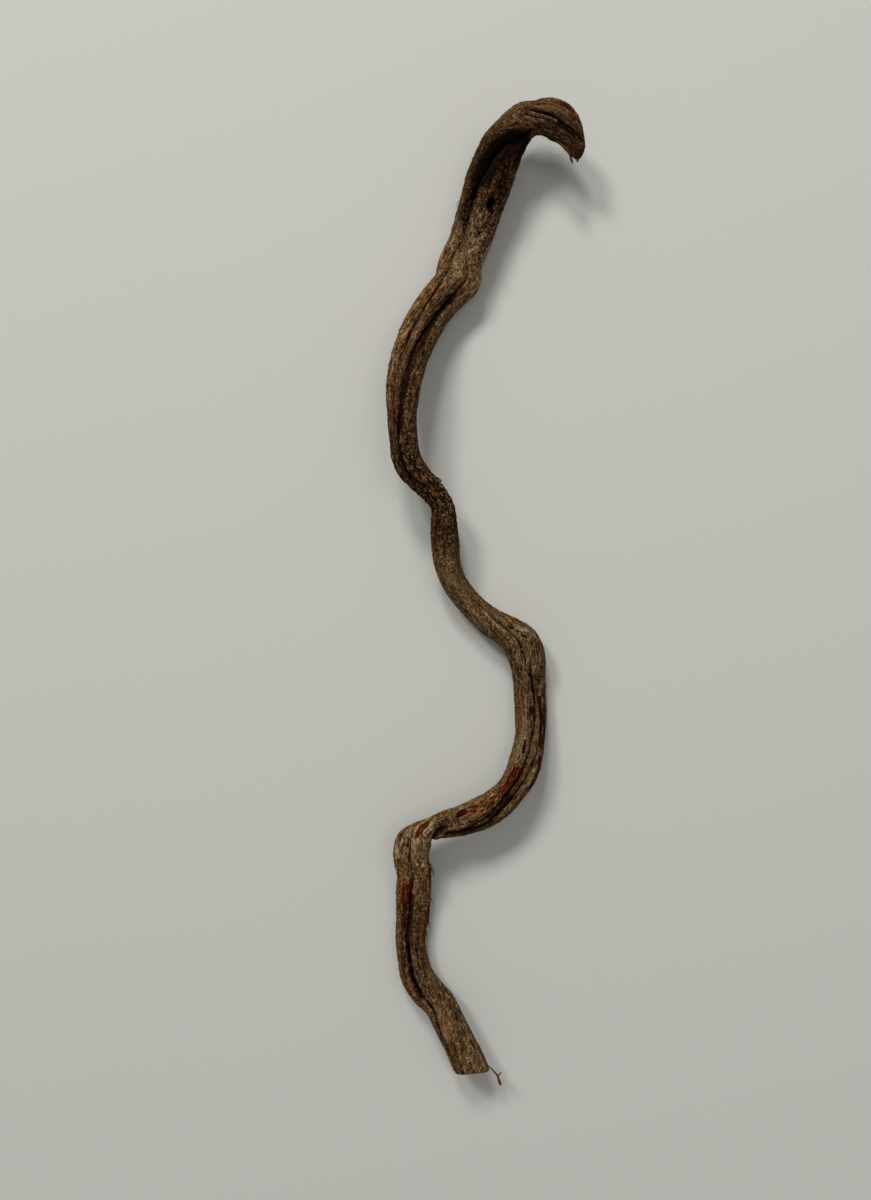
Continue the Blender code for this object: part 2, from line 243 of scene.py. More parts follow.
# Furrows that wind round the stem: distance, angle, depth and half width
furrows = {
    "outer furrow of the level run": (
        (0, -165, 1, 3), (40, -225, 2, 4), (88, -232, 3, 5), (137, -205, 3, 5),
        (200, -160, 2, 5), (300, -145, 4, 5), (442, -135, 4, 5), (541, -125, 4, 5),
        (650, -110, 3, 4), (800, -85, 3, 4), (870, -60, 3, 4), (934, -45, 3, 4),
        (981, -25, 1, 4), (1023, 0, 0, 4), (1060, 25, 0, 3), (1100, 50, 1, 3),
        (1123, 55, 3, 3), (1162, 48, 4, 3), (1188, 50, 4, 3), (1236, 63, 4, 3),
        (1282, 70, 5, 3), (1304, 67, 5, 3), (1341, 46, 4, 3), (1392, 15, 1, 4),
        (1430, -10, 1, 4), (1476, -25, 3, 4), (1550, -30, 4, 4), (1650, -25, 3, 4),
        (1727, 0, 1, 4), (1890, 50, 1, 4),
    ),
    "inner furrow of the level run": (
        (0, -120, 2, 3), (40, -165, 2, 4), (88, -170, 2, 5), (137, -150, 4, 5),
        (200, -110, 4, 5), (300, -85, 4, 5), (442, -75, 4, 5), (541, -70, 4, 5),
        (713, -45, 3, 4), (800, -30, 2, 4), (870, -10, 0, 4), (934, 0, 0, 4),
        (981, 20, 0, 3), (1023, 45, 0, 3), (1060, 70, 0, 3), (1086, 84, 5, 3),
        (1112, 77, 5, 3), (1134, 72, 5, 3), (1162, 76, 4, 3), (1204, 89, 5, 3),
        (1246, 98, 5, 3), (1286, 101, 5, 3), (1306, 94, 5, 3), (1328, 83, 6, 4),
        (1348, 71, 6, 4), (1370, 60, 5, 4), (1392, 45, 4, 4), (1430, 28, 0, 4),
        (1476, 22, 0, 4), (1620, 20, 0, 4), (1680, 30, 1, 3), (1727, 75, 1, 3),
        (1790, 92, 1, 3), (1890, 100, 1, 3),
    ),
    "furrow beside the shoulder and down the foot": (
        (0, -60, 2, 3), (40, -110, 3, 4), (88, -120, 4, 5), (137, -90, 4, 5),
        (200, -50, 4, 5), (300, -35, 4, 5), (368, -35, 3, 5), (541, -30, 4, 5),
        (650, -15, 1, 4), (713, 5, 0, 4), (800, 20, 1, 3), (870, 40, 1, 3),
        (934, 51, 3, 3), (955, 54, 4, 3), (981, 64, 4, 3), (1003, 79, 4.4, 3),
        (1023, 86, 4.2, 3), (1049, 97, 4.6, 3), (1069, 110, 2.4, 3), (1100, 128, 1, 3),
        (1200, 140, 0, 3), (1300, 160, 1, 3), (1390, 190, 1, 3), (1424, 184, 4, 3),
        (1440, 146, 5, 3), (1452, 109, 6, 3), (1476, 97, 4.5, 3), (1546, 99, 5, 3),
        (1582, 104, 5, 3), (1608, 108, 6, 3), (1635, 102, 6, 4), (1682, 107, 6, 4),
        (1707, 112, 5, 3), (1740, 126, 5, 3), (1768, 141, 5, 3), (1890, 155, 5, 3),
    ),
    "middle furrow of the left bend": (
        (0, 10, 2, 3), (40, -45, 3, 4), (55, -60, 4, 4), (88, -60, 4, 5),
        (137, -20, 1, 5), (168, 20, 1, 5), (200, 40, 0, 4), (250, 60, 0, 3),
        (300, 75, 0, 3), (336, 80, 1, 3), (368, 64, 3, 3), (403, 60, 7, 4),
        (442, 60, 7, 4), (476, 67, 6, 4), (511, 76, 5, 3), (541, 81, 5, 3),
        (595, 94, 5, 3), (654, 109, 5, 3), (696, 112, 4, 3), (740, 126, 2, 3),
        (770, 136, 2, 3), (830, 152, 1, 4), (900, 165, 1, 4), (1000, 186, 2, 5),
        (1100, 205, 4, 5), (1200, 215, 4, 5), (1300, 225, 4, 5), (1400, 232, 4, 5),
        (1476, 220, 4, 5), (1550, 215, 4, 5), (1650, 222, 4, 5), (1727, 235, 4, 5),
        (1890, 265, 4, 5),
    ),
    "hollow inside the hook and furrow down the shaft": (
        (0, 70, 0, 4), (23, 55, 0, 4), (40, 20, 1, 5), (55, 5, 1, 6),
        (88, 8, 3, 7), (107, 18, 5, 9), (137, 38, 9, 9), (152, 60, 12, 8),
        (168, 79, 13, 7), (184, 93, 13, 6), (220, 108, 11, 5), (271, 117, 7, 4),
        (314, 113, 4, 3), (348, 112, 5, 4), (389, 120, 5, 3), (433, 108, 6, 3),
        (500, 113, 5, 3), (554, 121, 4, 3), (613, 130, 3, 3), (650, 138, 2, 3),
        (690, 150, 1, 3), (770, 178, 1, 4), (830, 200, 3, 5), (900, 218, 4, 5),
        (1000, 235, 5, 5), (1200, 262, 5, 5), (1300, 272, 5, 5), (1400, 275, 5, 5),
        (1550, 270, 4, 5), (1650, 275, 4, 5), (1727, 290, 4, 5), (1890, 320, 4, 5),
    ),
    "furrow under the raised lobe of the hook": (
        (0, 165, 1, 3), (23, 139, 3, 3), (30, 112, 4, 3), (40, 90, 4, 3),
        (55, 77, 4, 3), (70, 74, 4, 3), (88, 78, 4, 3), (104, 91, 3, 3),
        (120, 105, 0, 3), (168, 132, 0, 4), (236, 150, 1, 4), (300, 160, 1, 4),
        (388, 172, 2, 4), (433, 172, 1, 4), (541, 188, 1, 4), (650, 210, 3, 4),
        (720, 222, 4, 5), (800, 238, 4, 5), (900, 258, 4, 5), (1000, 275, 4, 5),
        (1100, 290, 4, 5), (1200, 305, 4, 5), (1300, 318, 4, 5), (1400, 322, 4, 5),
        (1550, 312, 4, 5), (1650, 318, 4, 5), (1727, 332, 3, 5), (1890, 365, 2, 5),
    ),
}

# Swellings and hollows: distance, angle, height, reach towards the hook, reach towards the
# foot and half width round the stem. The first seven are in the solid too, the knot hole a
# little further down.
knots = {
    "raised outer lobe of the hook": (94, 150, 3, 60, 6, 18),
    "knot hole in the shaft": (262, 61, -11, 9, 7, 7),
    "knob at the first elbow": (368, 3, 2, 12, 10, 9),
    "notch above the left bend": (388, 165, -2, 12, 12, 9),
    "swollen shoulder": (1074, 45, 3, 55, 12, 18),
    "knuckle under the shoulder": (993, 180, 2, 14, 8, 9),
    "lobe that laps over the second elbow": (1430, 80, 4, 12, 40, 17),
    "lip of the knot hole": (247, 74, 1.2, 5, 4, 9),
    "knob by the hook tip": (10, 128, 2.4, 3, 3, 3),
    "fuller inner edge of the hook tip": (18, 0, 2.6, 7, 9, 9),
    "first hole beside the shoulder": (1020, 68, -2.6, 3, 3, 2.2),
    "second hole beside the shoulder": (1027, 67, -2.4, 2.5, 2.5, 2),
    "third hole beside the shoulder": (1036, 66, -2.2, 3, 3, 2),
    "pale lip by the holes": (1030, 76, 1.3, 9, 9, 3),
    "small knob at the waist": (746, 44, 1.3, 4, 4, 3),
    "smaller knob at the waist": (757, 38, 1.1, 3, 3, 3),
    "pit below the waist": (906, 78, -1.6, 3, 3, 2),
    "pit on the slant": (918, 74, -1.5, 3, 2, 2),
    "pit on the foot": (1740, 105, -1.4, 3, 3, 2),
    "second pit on the foot": (1748, 86, -1.3, 2.5, 2.5, 2),
    "third pit on the foot": (1763, 55, -1.5, 3, 3, 2),
}

# Creases that run over the surface: distance and angle along the bottom by falling angle,
# then depth and the half width on the side of the hook and on the side of the foot
creases = {
    "ledge where the shoulder ends": (((1086, 97), (1097, 74), (1106, 42)), 3, 5, 7),
    "fold at the second elbow": (
        ((1372, 130), (1389, 114), (1398, 106), (1406, 90), (1413, 78), (1422, 60),
         (1430, 20), (1434, -25)),
        7, 6, 4,
    ),
    "second groove of the hook": (
        ((120, 84), (104, 70), (86, 60), (64, 57), (48, 64), (34, 72)), 2.0, 2.2, 2.2,
    ),
    "groove along the top of the hook": (
        ((128, 122), (110, 116), (90, 116), (70, 122), (52, 128), (34, 142)), 1.4, 2, 2,
    ),
    "peeled edge on the left bend": (((446, 84), (432, 80), (424, 74)), 1.6, 2, 1.2),
    "wrinkle on the shoulder": (((1022, 60), (1034, 52), (1048, 46)), 1.0, 1.6, 1.6),
    "second wrinkle on the shoulder": (((1040, 66), (1050, 58), (1064, 48)), 1.0, 1.6, 1.6),
    "third wrinkle on the shoulder": (((1056, 80), (1064, 66), (1078, 50)), 0.9, 1.6, 1.6),
}

# Thin black cracks and seams, and black lines of painted shade in holes and under edges: a line of
# distance and angle, half width and depth
seams = {
    "main groove of the hook": (
        ((104, 90), (90, 80), (72, 73), (54, 75), (38, 87), (24, 114)), 2.4, 1.4,
    ),
    "groove beside it": (
        ((118, 84), (106, 70), (86, 58), (64, 56), (46, 60), (30, 74), (18, 90)), 1.4, 0.9,
    ),
    "first hole by the shoulder": (((1016, 70), (1021, 66)), 2.8, 1.5),
    "second hole by the shoulder": (((1026, 68), (1029, 65)), 2.3, 1.3),
    "third hole by the shoulder": (((1037, 67), (1041, 63)), 2.9, 1.6),
    "mouth of the knot hole": (((255, 64), (263, 60), (272, 56)), 5, 0.3),
    "crevice inside the hook": (((104, 26), (84, 30), (58, 36), (36, 44)), 1.1, 0.8),
    "crack below the knot hole": (((298, 92), (304, 86)), 1.3, 0.9),
    "second crack below it": (((301, 82), (310, 66)), 1.4, 1.0),
    "third crack below it": (((295, 70), (301, 60)), 1.1, 0.9),
    "fourth crack below it": (((309, 83), (316, 71)), 1.2, 0.9),
    "fifth crack below it": (((309, 94), (319, 88)), 1.0, 0.8),
    "sixth crack below it": (((311, 63), (319, 53)), 1.0, 0.8),
    "gash by the first elbow": (((410, 69), (420, 73), (434, 75), (446, 79)), 1.9, 1.4),
    "gash on the left bend": (((624, 128), (634, 122), (645, 112), (655, 114)), 1.7, 1.4),
    "short gash beside it": (((636, 132), (648, 126)), 0.9, 1.0),
    "first crack of the waist": (
        ((676, 106), (699, 115), (718, 119), (738, 111), (765, 112), (784, 122)), 1.5, 1.2,
    ),
    "second crack of the waist": (
        ((684, 94), (702, 80), (730, 72), (756, 76), (776, 74), (792, 80)), 1.1, 1.1,
    ),
    "third crack of the waist": (((712, 75), (720, 62), (729, 48)), 0.9, 1.0),
    "fourth crack of the waist": (((736, 110), (739, 92), (740, 75)), 0.9, 1.0),
    "fifth crack of the waist": (((764, 110), (766, 92), (768, 76)), 0.8, 0.9),
    "sixth crack of the waist": (((742, 56), (756, 50), (768, 58)), 0.8, 0.9),
    "crack under the waist": (((818, 101), (824, 84), (826, 64)), 1.0, 1.0),
    "second crack under the waist": (((813, 108), (824, 104), (838, 98), (862, 92)), 0.9, 0.8),
    "third crack under the waist": (((806, 60), (820, 50), (838, 46)), 0.9, 0.8),
    "edge of the slant": (((897, 142), (921, 130), (958, 130), (988, 136)), 0.8, 0.6),
    "crack across the shoulder": (((1035, 84), (1044, 90), (1064, 99), (1080, 98)), 1.0, 1.0),
    "edge of the ledge": (((1086, 100), (1093, 92), (1095, 78), (1098, 56), (1100, 32)), 1.2, 0.8),
    "crack in the ledge": (((1096, 84), (1108, 83), (1119, 82)), 1.8, 1.2),
    # painted shade under the edge of the level run
    "lower edge of the level run": (((1322, 58), (1346, 53), (1372, 53), (1398, 58)), 2.6, 1.0),
    "short crack by the fold": (((1376, 96), (1384, 100), (1390, 94)), 0.9, 0.7),
    "lobe of the second elbow": (((1440, 134), (1446, 126), (1458, 108)), 0.8, 0.5),
    "dash on the run": (((1172, 93), (1182, 93)), 1.0, 0.5),
    "second dash on the run": (((1204, 113), (1221, 115)), 1.1, 0.6),
    "third dash on the run": (((1228, 125), (1234, 128)), 1.5, 0.9),
    "crack on the lower bend": (((1662, 70), (1690, 74), (1716, 84)), 0.6, 0.5),
    "crack along the foot": (((1742, 52), (1776, 50), (1812, 44)), 0.6, 0.5),
    "second crack along the foot": (((1788, 104), (1812, 112), (1840, 118)), 0.7, 0.5),
}

stemShape = {
    "routeSamples": 4000,                 # points that the route's length is measured over
    "ringStep": 2.12,                     # from one ring of vertices to the next
    "columns": (14, 17, 24, 17, 17, 21),  # from each furrow to the next one
    "evenAngles": (0, 45, 96, 172, 227, 275, 360),  # of the furrows on a straight stem
    "crowding": 0.35,                     # how much closer columns stand beside a furrow
    "valleyShare": 0.45, "valleyWidth": 2.6,  # wide part of a furrow's section
    "slitShare": 0.35, "slitWidth": 1.5,  # narrow slit along its bottom
    "slitShade": 0.75, "furrowShade": 0.35,  # how much painted shade each lays in the furrow
    "shadeDepth": 5,                       # depth at which the painted shade in a furrow is at its darkest
    "creaseShade": 3,                      # half width of the painted shade along a crease
    "crackSlope": 0.8,                    # width of a crack's sides
    "fullRadius": 20,                     # thinner stems have shallower furrows
    "unevenness": 0.6, "ripples": (31, -17),  # height and lengths of its two waves
    "turnReach": 16,                      # evens out the turn from section to section
    "grainRadius": 24,                    # of the straightened stem that the grain is drawn on
    "sawPoint": (-19, -741, 42), "sawFacing": (0.09, -0.90, 0.42),
    "sawRings": 26,                       # rings that lean over to meet the saw cut
    "rimWear": (1.2, 4.3, 6),             # rounding of its rim, and more at two sharp corners
    "rimSlope": 1.6,                      # how much longer than high the rounding is
    "tipRings": (0.75, 0.45),             # rings that close the ends, as shares of the last one
    "footRings": (0.93, 0.82, 0.7, 0.57, 0.44, 0.3, 0.15),
    "tipRoughness": 0.5, "tipSeed": 7,
    "strandFloor": 0.5,                   # strands over the bark lie at least this high
    # the black line down a deep furrow is painted shade
    "blackFrom": 1.7, "blackGain": 0.32,  # a furrow deeper than this has a black line, wider
    "blackWidest": 1.9,                   # with each millimetre of depth, up to this half width
    "strokeFade": 2.5,                    # how suddenly a patch, scuff or stain ends
    "centring": (0.285, 1.070, 0),        # moves the box over the origin, as the solid's is
    "seamReach": 9,                       # furthest distance from a seam that is told
}


def smoothCurve(rows, places):
    rows = np.asarray(rows, float)
    stops, values = rows[:, 0], rows[:, 1:]
    slopes = np.gradient(values, stops, axis=0)
    places = np.clip(places, stops[0], stops[-1])
    span = np.clip(np.searchsorted(stops, places, side="right") - 1, 0, len(stops) - 2)
    length = (stops[span + 1] - stops[span])[:, None]
    t = (places - stops[span])[:, None] / length
    return (
        values[span] * (2 * t**3 - 3 * t**2 + 1)
        + slopes[span] * length * (t**3 - 2 * t**2 + t)
        + values[span + 1] * (3 * t**2 - 2 * t**3)
        + slopes[span + 1] * length * (t**3 - t**2)
    )


def unit(vectors):
    return vectors / np.linalg.norm(vectors, axis=-1, keepdims=True)


def measureRoute():
    rows = np.asarray(route, float)
    chainage = np.r_[0, np.cumsum(np.linalg.norm(np.diff(rows[:, :3], axis=0), axis=1))]
    samples = np.linspace(0, chainage[-1], stemShape["routeSamples"])
    fine = smoothCurve(np.column_stack([chainage, rows]), samples)
    steps = np.linalg.norm(np.diff(fine[:, :3], axis=0), axis=1)
    return np.r_[0, np.cumsum(steps)], fine


routeDistance, routeRows = measureRoute()


def alongRoute(places):
    return np.column_stack([np.interp(places, routeDistance, c) for c in routeRows.T])


def sectionFrames(places):
    # middle, side, upward and forward directions, half width and half thickness
    rows = alongRoute(places)
    reach = stemShape["turnReach"]
    forward = unit(alongRoute(places + reach)[:, :3] - alongRoute(places - reach)[:, :3])
    up = unit(np.array([0.0, 0.0, 1.0]) - forward * forward[:, 2:3])
    return rows[:, :3], np.cross(up, forward), up, forward, rows[:, 3] / 2, rows[:, 4] / 2


def stemRadius(places):
    return (alongRoute(places)[:, 3:5] / 2).sum(axis=1, keepdims=True) / 2


def furrowLines(places):
    lines = []
    for rows in furrows.values():
        line = smoothCurve(rows, places)
        lines.append((np.radians(line[:, 0]), np.maximum(line[:, 1], 0), line[:, 2]))
    return lines


def bell(offset, width):
    return np.exp(-((offset / width) ** 2))


def around(angle, centre):
    return (angle - centre + math.pi) % (2 * math.pi) - math.pi


def creaseOffset(line, places, angles, radius):
    # distance over the surface to the line, below nought on the side of the hook
    nearest = np.full(angles.shape, np.inf)
    for (start, startAngle), (end, endAngle) in zip(line, line[1:]):
        along = places[:, None] - start
        across = around(angles, math.radians(startAngle)) * radius
        run = end - start
        rise = math.radians(endAngle - startAngle) * radius
        t = np.clip((along * run + across * rise) / (run**2 + rise**2), 0, 1)
        gap = np.hypot(along - t * run, across - t * rise)
        gap = np.where(across * run > along * rise, gap, -gap)
        nearest = np.where(abs(gap) < abs(nearest), gap, nearest)
    return nearest


def stemRelief(places, angles, lines, radius):
    # height of the surface over a plain oval, and how deep in a furrow, crease or hollow each point
    # lies, which sets the painted shade there
    height = np.zeros(angles.shape)
    depthHere = np.zeros(angles.shape)
    for bottom, depth, width in lines:
        gap = around(angles, bottom[:, None]) * radius
        share = stemShape["valleyShare"]
        groove = (1 - share) * bell(gap, width[:, None])
        valley = share * bell(gap, width[:, None] * stemShape["valleyWidth"])
        height -= depth[:, None] * (groove + valley)
        slit = depth[:, None] * bell(gap, stemShape["slitWidth"])
        height -= stemShape["slitShare"] * slit
        depthHere += stemShape["slitShade"] * slit
        depthHere += stemShape["furrowShade"] * depth[:, None] * bell(gap, width[:, None])
    for place, angle, rise, before, after, width in knots.values():
        along = places[:, None] - place
        gap = around(angles, math.radians(angle)) * radius
        lump = rise * bell(along, np.where(along < 0, before, after)) * bell(gap, width)
        height += lump
        depthHere += np.maximum(-lump, 0)
    for line, depth, before, after in creases.values():
        gap = creaseOffset(line, places, angles, radius)
        dip = depth * bell(gap, np.where(gap < 0, before, after))
        height -= dip
        depthHere += dip * bell(gap, stemShape["creaseShade"])
    for line, width, depth in seams.values():
        gap = creaseOffset(line, places, angles, radius)
        height -= depth * bell(gap, width + stemShape["crackSlope"])
    twist = angles - lines[0][0][:, None]
    for turn, length in zip((3 * twist, 2 * angles), stemShape["ripples"]):
        height += stemShape["unevenness"] * np.sin(turn + places[:, None] / length)
    return height * np.minimum(radius / stemShape["fullRadius"], 1), depthHere


def seamAttribute(places, angles, lines, radius):
    # signed and plain distance to the nearest black line, and that line's half width
    signed = np.full(angles.shape, np.inf)
    widths = np.zeros(angles.shape)
    rivals = []
    for bottom, depth, _ in lines:
        width = stemShape["blackGain"] * (depth - stemShape["blackFrom"])
        width = np.clip(width, 0.01, stemShape["blackWidest"])[:, None]
        rivals.append((around(angles, bottom[:, None]) * radius, width))
    for line, width, _ in seams.values():
        rivals.append((creaseOffset(line, places, angles, radius), width))
    for gap, width in rivals:
        nearer = abs(gap) - width < abs(signed) - widths
        signed = np.where(nearer, gap, signed)
        widths = np.where(nearer, width, widths)
    near = signed.clip(-stemShape["seamReach"], stemShape["seamReach"])
    return np.stack([near, abs(near), widths], axis=-1)


def columnAngles(lines):
    # angle of each column of vertices, and the even angle it would have on a straight stem
    bottoms = [angle for angle, _, _ in lines]
    bottoms.append(bottoms[0] + 2 * math.pi)
    even = np.radians(stemShape["evenAngles"])
    columns, straight = [], []
    for k, count in enumerate(stemShape["columns"]):
        for column in range(count):
            share = column / count
            share -= stemShape["crowding"] * math.sin(2 * math.pi * share) / (2 * math.pi)
            columns.append(bottoms[k] + share * (bottoms[k + 1] - bottoms[k]))
            straight.append(even[k] + share * (even[k + 1] - even[k]))
    return np.column_stack(columns), np.array(straight)


def onOval(places, angles, lift):
    # points over the stem's oval sections, in millimetres, for rows of angles
    middle, side, up, _, halfWidth, halfThickness = sectionFrames(places)
    halfWidth, halfThickness = halfWidth[:, None], halfThickness[:, None]
    cos, sin = np.cos(angles), np.sin(angles)
    slope = np.hypot(halfThickness * cos, halfWidth * sin)
    across = halfWidth * cos + lift * halfThickness * cos / slope
    upward = halfThickness * sin + lift * halfWidth * sin / slope
    points = middle[:, None] + across[..., None] * side[:, None] + upward[..., None] * up[:, None]
    return points + stemShape["centring"]


def overStem(rows):
    # points over the finished bark for rows of distance, angle and height over it
    rows = np.asarray(rows, float)
    places, angles = rows[:, 0], np.radians(rows[:, 1:2])
    height, _ = stemRelief(places, angles, furrowLines(places), stemRadius(places))
    points = onOval(places, angles, height + rows[:, 2:3])[:, 0]
    points[:, 2] = np.maximum(points[:, 2], stemShape["strandFloor"])
    return points


# Where the bark differs along the stem. Each row: distance, tone, warmth, cracked, pitted,
# flaky. Tone 1 is the middling bark, warmth 0 is grey and 1 reddish brown.
barkZones = (
    (0, 0.60, 1.00, 0.35, 0.3, 0.5), (60, 0.76, 0.90, 0.30, 0.3, 0.25),
    (110, 0.94, 0.80, 0.35, 0.4, 0.2), (160, 0.80, 0.75, 0.55, 0.8, 0.3),
    (235, 0.80, 0.60, 0.60, 1.0, 0.4), (290, 1.18, 0.30, 0.70, 0.9, 0.3),
    (350, 1.46, 0.28, 0.45, 0.7, 0.3), (420, 1.24, 0.60, 0.35, 0.6, 0.4),
    (520, 1.00, 0.70, 0.40, 0.7, 0.4), (620, 0.82, 0.75, 0.50, 0.6, 0.5),
    (680, 0.84, 0.60, 0.80, 0.6, 0.6), (720, 1.00, 0.60, 0.90, 0.6, 0.7),
    (760, 1.05, 0.50, 1.00, 0.7, 0.8),
    (810, 0.86, 0.50, 0.80, 0.5, 0.5), (870, 0.82, 0.50, 0.30, 0.3, 0.2),
    (950, 1.00, 0.32, 0.25, 0.3, 0.2), (1030, 1.22, 0.22, 0.50, 0.5, 0.3),
    (1080, 1.14, 0.30, 0.60, 0.5, 0.3), (1130, 0.90, 0.45, 0.40, 0.4, 0.4),
    (1220, 0.88, 0.40, 0.35, 0.4, 0.4), (1300, 0.94, 0.45, 0.30, 0.4, 0.4),
    (1370, 1.06, 0.32, 0.30, 0.4, 0.3), (1430, 1.42, 0.25, 0.35, 0.5, 0.3),
    (1490, 1.52, 0.50, 0.40, 0.6, 0.5), (1560, 1.02, 0.60, 0.40, 0.6, 0.7),
    (1640, 0.88, 0.55, 0.40, 0.6, 0.5), (1700, 0.85, 0.50, 0.30, 0.5, 0.3),
    (1760, 0.90, 0.50, 0.20, 0.5, 0.2), (1860, 0.98, 0.50, 0.20, 0.4, 0.2),
)

# Bare patches where the outer bark has come off: a line of distance and angle, the half
# width, how much shows (0 to 1) and the colour, from 0 dark red to 1 orange.
barePatches = {
    "edge of the hook's lobe": (((107, 148), (97, 108)), 1.8, 0.75, 0.8),
    "top of the hook": (((72, 140), (48, 118)), 7, 0.55, 0.4),
    "end of the hook": (((34, 120), (20, 118)), 4, 0.5, 0.2),
    "first elbow": (((392, 22), (394, 42)), 4, 0.55, 0.8),
    "left furrow of the bend": (((500, 114), (530, 116)), 2.5, 0.7, 0.9),
    "outside of the left bend": (((618, 122), (648, 127)), 4, 0.55, 0.4),
    "edge of the left bend": (((580, 30), (600, 32)), 3, 0.7, 0.3),
    "slant": (((862, 110), (880, 104)), 3, 0.45, 0.7),
    "slant beside the furrow": (((944, 62), (962, 58)), 4, 0.6, 0.7),
    "run, upper": (((1149, 90), (1156, 90)), 4.2, 1.0, 0.05),
    "run, next": (((1172, 93), (1182, 93)), 1.8, 0.9, 0.1),
    "run, small": (((1204, 112), (1221, 115)), 2.2, 0.9, 0.15),
    "strip down the outside of the run": (((1134, 50), (1158, 46), (1184, 46)), 3.8, 0.92, 0.15),
    "strip, lower": (((1190, 47), (1208, 45)), 3.2, 0.95, 0.15),
    "strip, lowest": (((1222, 43), (1244, 36), (1268, 30)), 3.4, 0.85, 0.2),
    "bend of the run": (((1254, 117), (1275, 119), (1291, 118)), 7.5, 1.0, 0.8),
    "below the bend": (((1304, 112), (1329, 111), (1350, 117)), 9, 0.58, 0.85),
    "gold beside them": (((1290, 120), (1320, 122), (1354, 126)), 13, 0.32, 1.0),
    "gold of the first elbow": (((420, 114), (456, 120)), 9, 0.26, 0.8),
    "level run": (((1330, 134), (1366, 136)), 5, 0.55, 0.7),
    "before the fold": (((1364, 138), (1377, 130)), 3.6, 0.9, 0.1),
    "lobe of the second elbow": (((1421, 135), (1429, 122), (1437, 108)), 4.0, 1.0, 0.15),
    "left of the second elbow": (((1454, 158), (1457, 144)), 3.2, 0.8, 0.2),
    "brightest patch of the lower run": (((1522, 117), (1552, 113)), 5.2, 1.1, 1.0),
    "below the brightest patch": (((1558, 116), (1580, 119), (1600, 122)), 3.0, 0.95, 0.15),
    "further down the lower run": (((1614, 122), (1630, 124)), 2.4, 0.8, 0.1),
    "left edge of the lower run": (((1642, 125), (1671, 130)), 4.0, 0.75, 0.3),
    "inside of the lower bend": (((1674, 146), (1690, 140)), 4, 0.5, 0.4),
    "right edge of the lower run": (((1486, 10), (1522, 17)), 6.5, 1.35, 1.0),
    "right edge, lower": (((1562, 22), (1584, 22)), 4, 1.0, 0.8),
    "right edge, lowest": (((1592, 20), (1610, 20)), 5, 1.35, 1.0),
    "foot": (((1722, 90), (1748, 100), (1782, 104), (1804, 108)), 8, 0.34, 0.75),
    "underneath the shaft": (((240, 230), (275, 236)), 6, 0.7, 0.4),
    "underneath the left bend": (((560, 250), (600, 256)), 6, 0.7, 0.5),
    "underneath the slant": (((880, 262), (905, 266)), 5, 0.7, 0.3),
    "underneath the level run": (((1300, 250), (1345, 256)), 7, 0.8, 0.5),
    "underneath the foot": (((1730, 275), (1765, 280)), 6, 0.6, 0.5),
}

# Pale scuffs, and dark stains together with painted shade in hollows, under the hook and under
# edges: a line of distance and angle, the half width and the strength
paleScuffs = {
    "below the knot hole": (((296, 84), (312, 78), (334, 68)), 12, 0.55),
    "first elbow": (((356, 90), (410, 96)), 9, 0.35),
    "inner edge of the hook": (((82, 28), (108, 28)), 7, 0.5),
    "between the grooves of the hook": (((80, 84), (96, 96)), 4, 0.45),
    "crook of the hook": (((92, 90), (104, 78), (116, 48)), 6, 0.7),
    "outer ridge of the run": (((1198, 60), (1230, 58), (1262, 54)), 4.5, 0.5),
    "outer ridge of the left bend": (
        ((440, 142), (472, 140), (518, 138), (564, 135), (608, 144)), 8, 0.42,
    ),
    "inner edge of the left bend": (((480, 2), (545, -4)), 6, 0.3),
    "middle ridge of the left bend": (((484, 92), (530, 97)), 4, 0.3),
    "right above the first elbow": (((318, 18), (348, 8), (384, 14)), 10, 0.8),
    "below the waist": (((862, 84), (896, 92)), 8, 0.55),
    "slant": (((930, 90), (990, 104)), 9, 0.35),
    "lip by the holes": (((1022, 79), (1037, 85)), 2.6, 1.2),
    "shoulder": (((1074, 92), (1084, 84), (1094, 76)), 7.5, 1.35),
    "left of the holes": (((1030, 86), (1040, 93)), 5, 0.5),
    "shoulder's wrinkles": (((1024, 54), (1042, 44)), 5, 0.75),
    "inner side of the run": (((1124, 100), (1160, 112), (1200, 128), (1236, 138)), 8, 0.6),
    # a painted highlight: the glint on the bare patch of the run
    "spot on the run": (((1302, 115), (1309, 120)), 4.5, 1.2),
    "level run": (((1330, 112), (1390, 124)), 6, 0.4),
    "lobe of the second elbow": (((1410, 118), (1470, 92)), 11, 0.5),
    "left of the second elbow": (((1440, 150), (1470, 140)), 7, 0.5),
    "right of the second elbow": (((1432, 76), (1440, 63), (1464, 46), (1491, 50)), 7, 0.6),
    "lower run": (((1500, 70), (1560, 68)), 7, 0.4),
    "foot": (((1736, 106), (1752, 111), (1774, 115)), 6.5, 0.8),
    "right side of the foot": (((1790, 50), (1842, 46)), 9, 0.4),
}
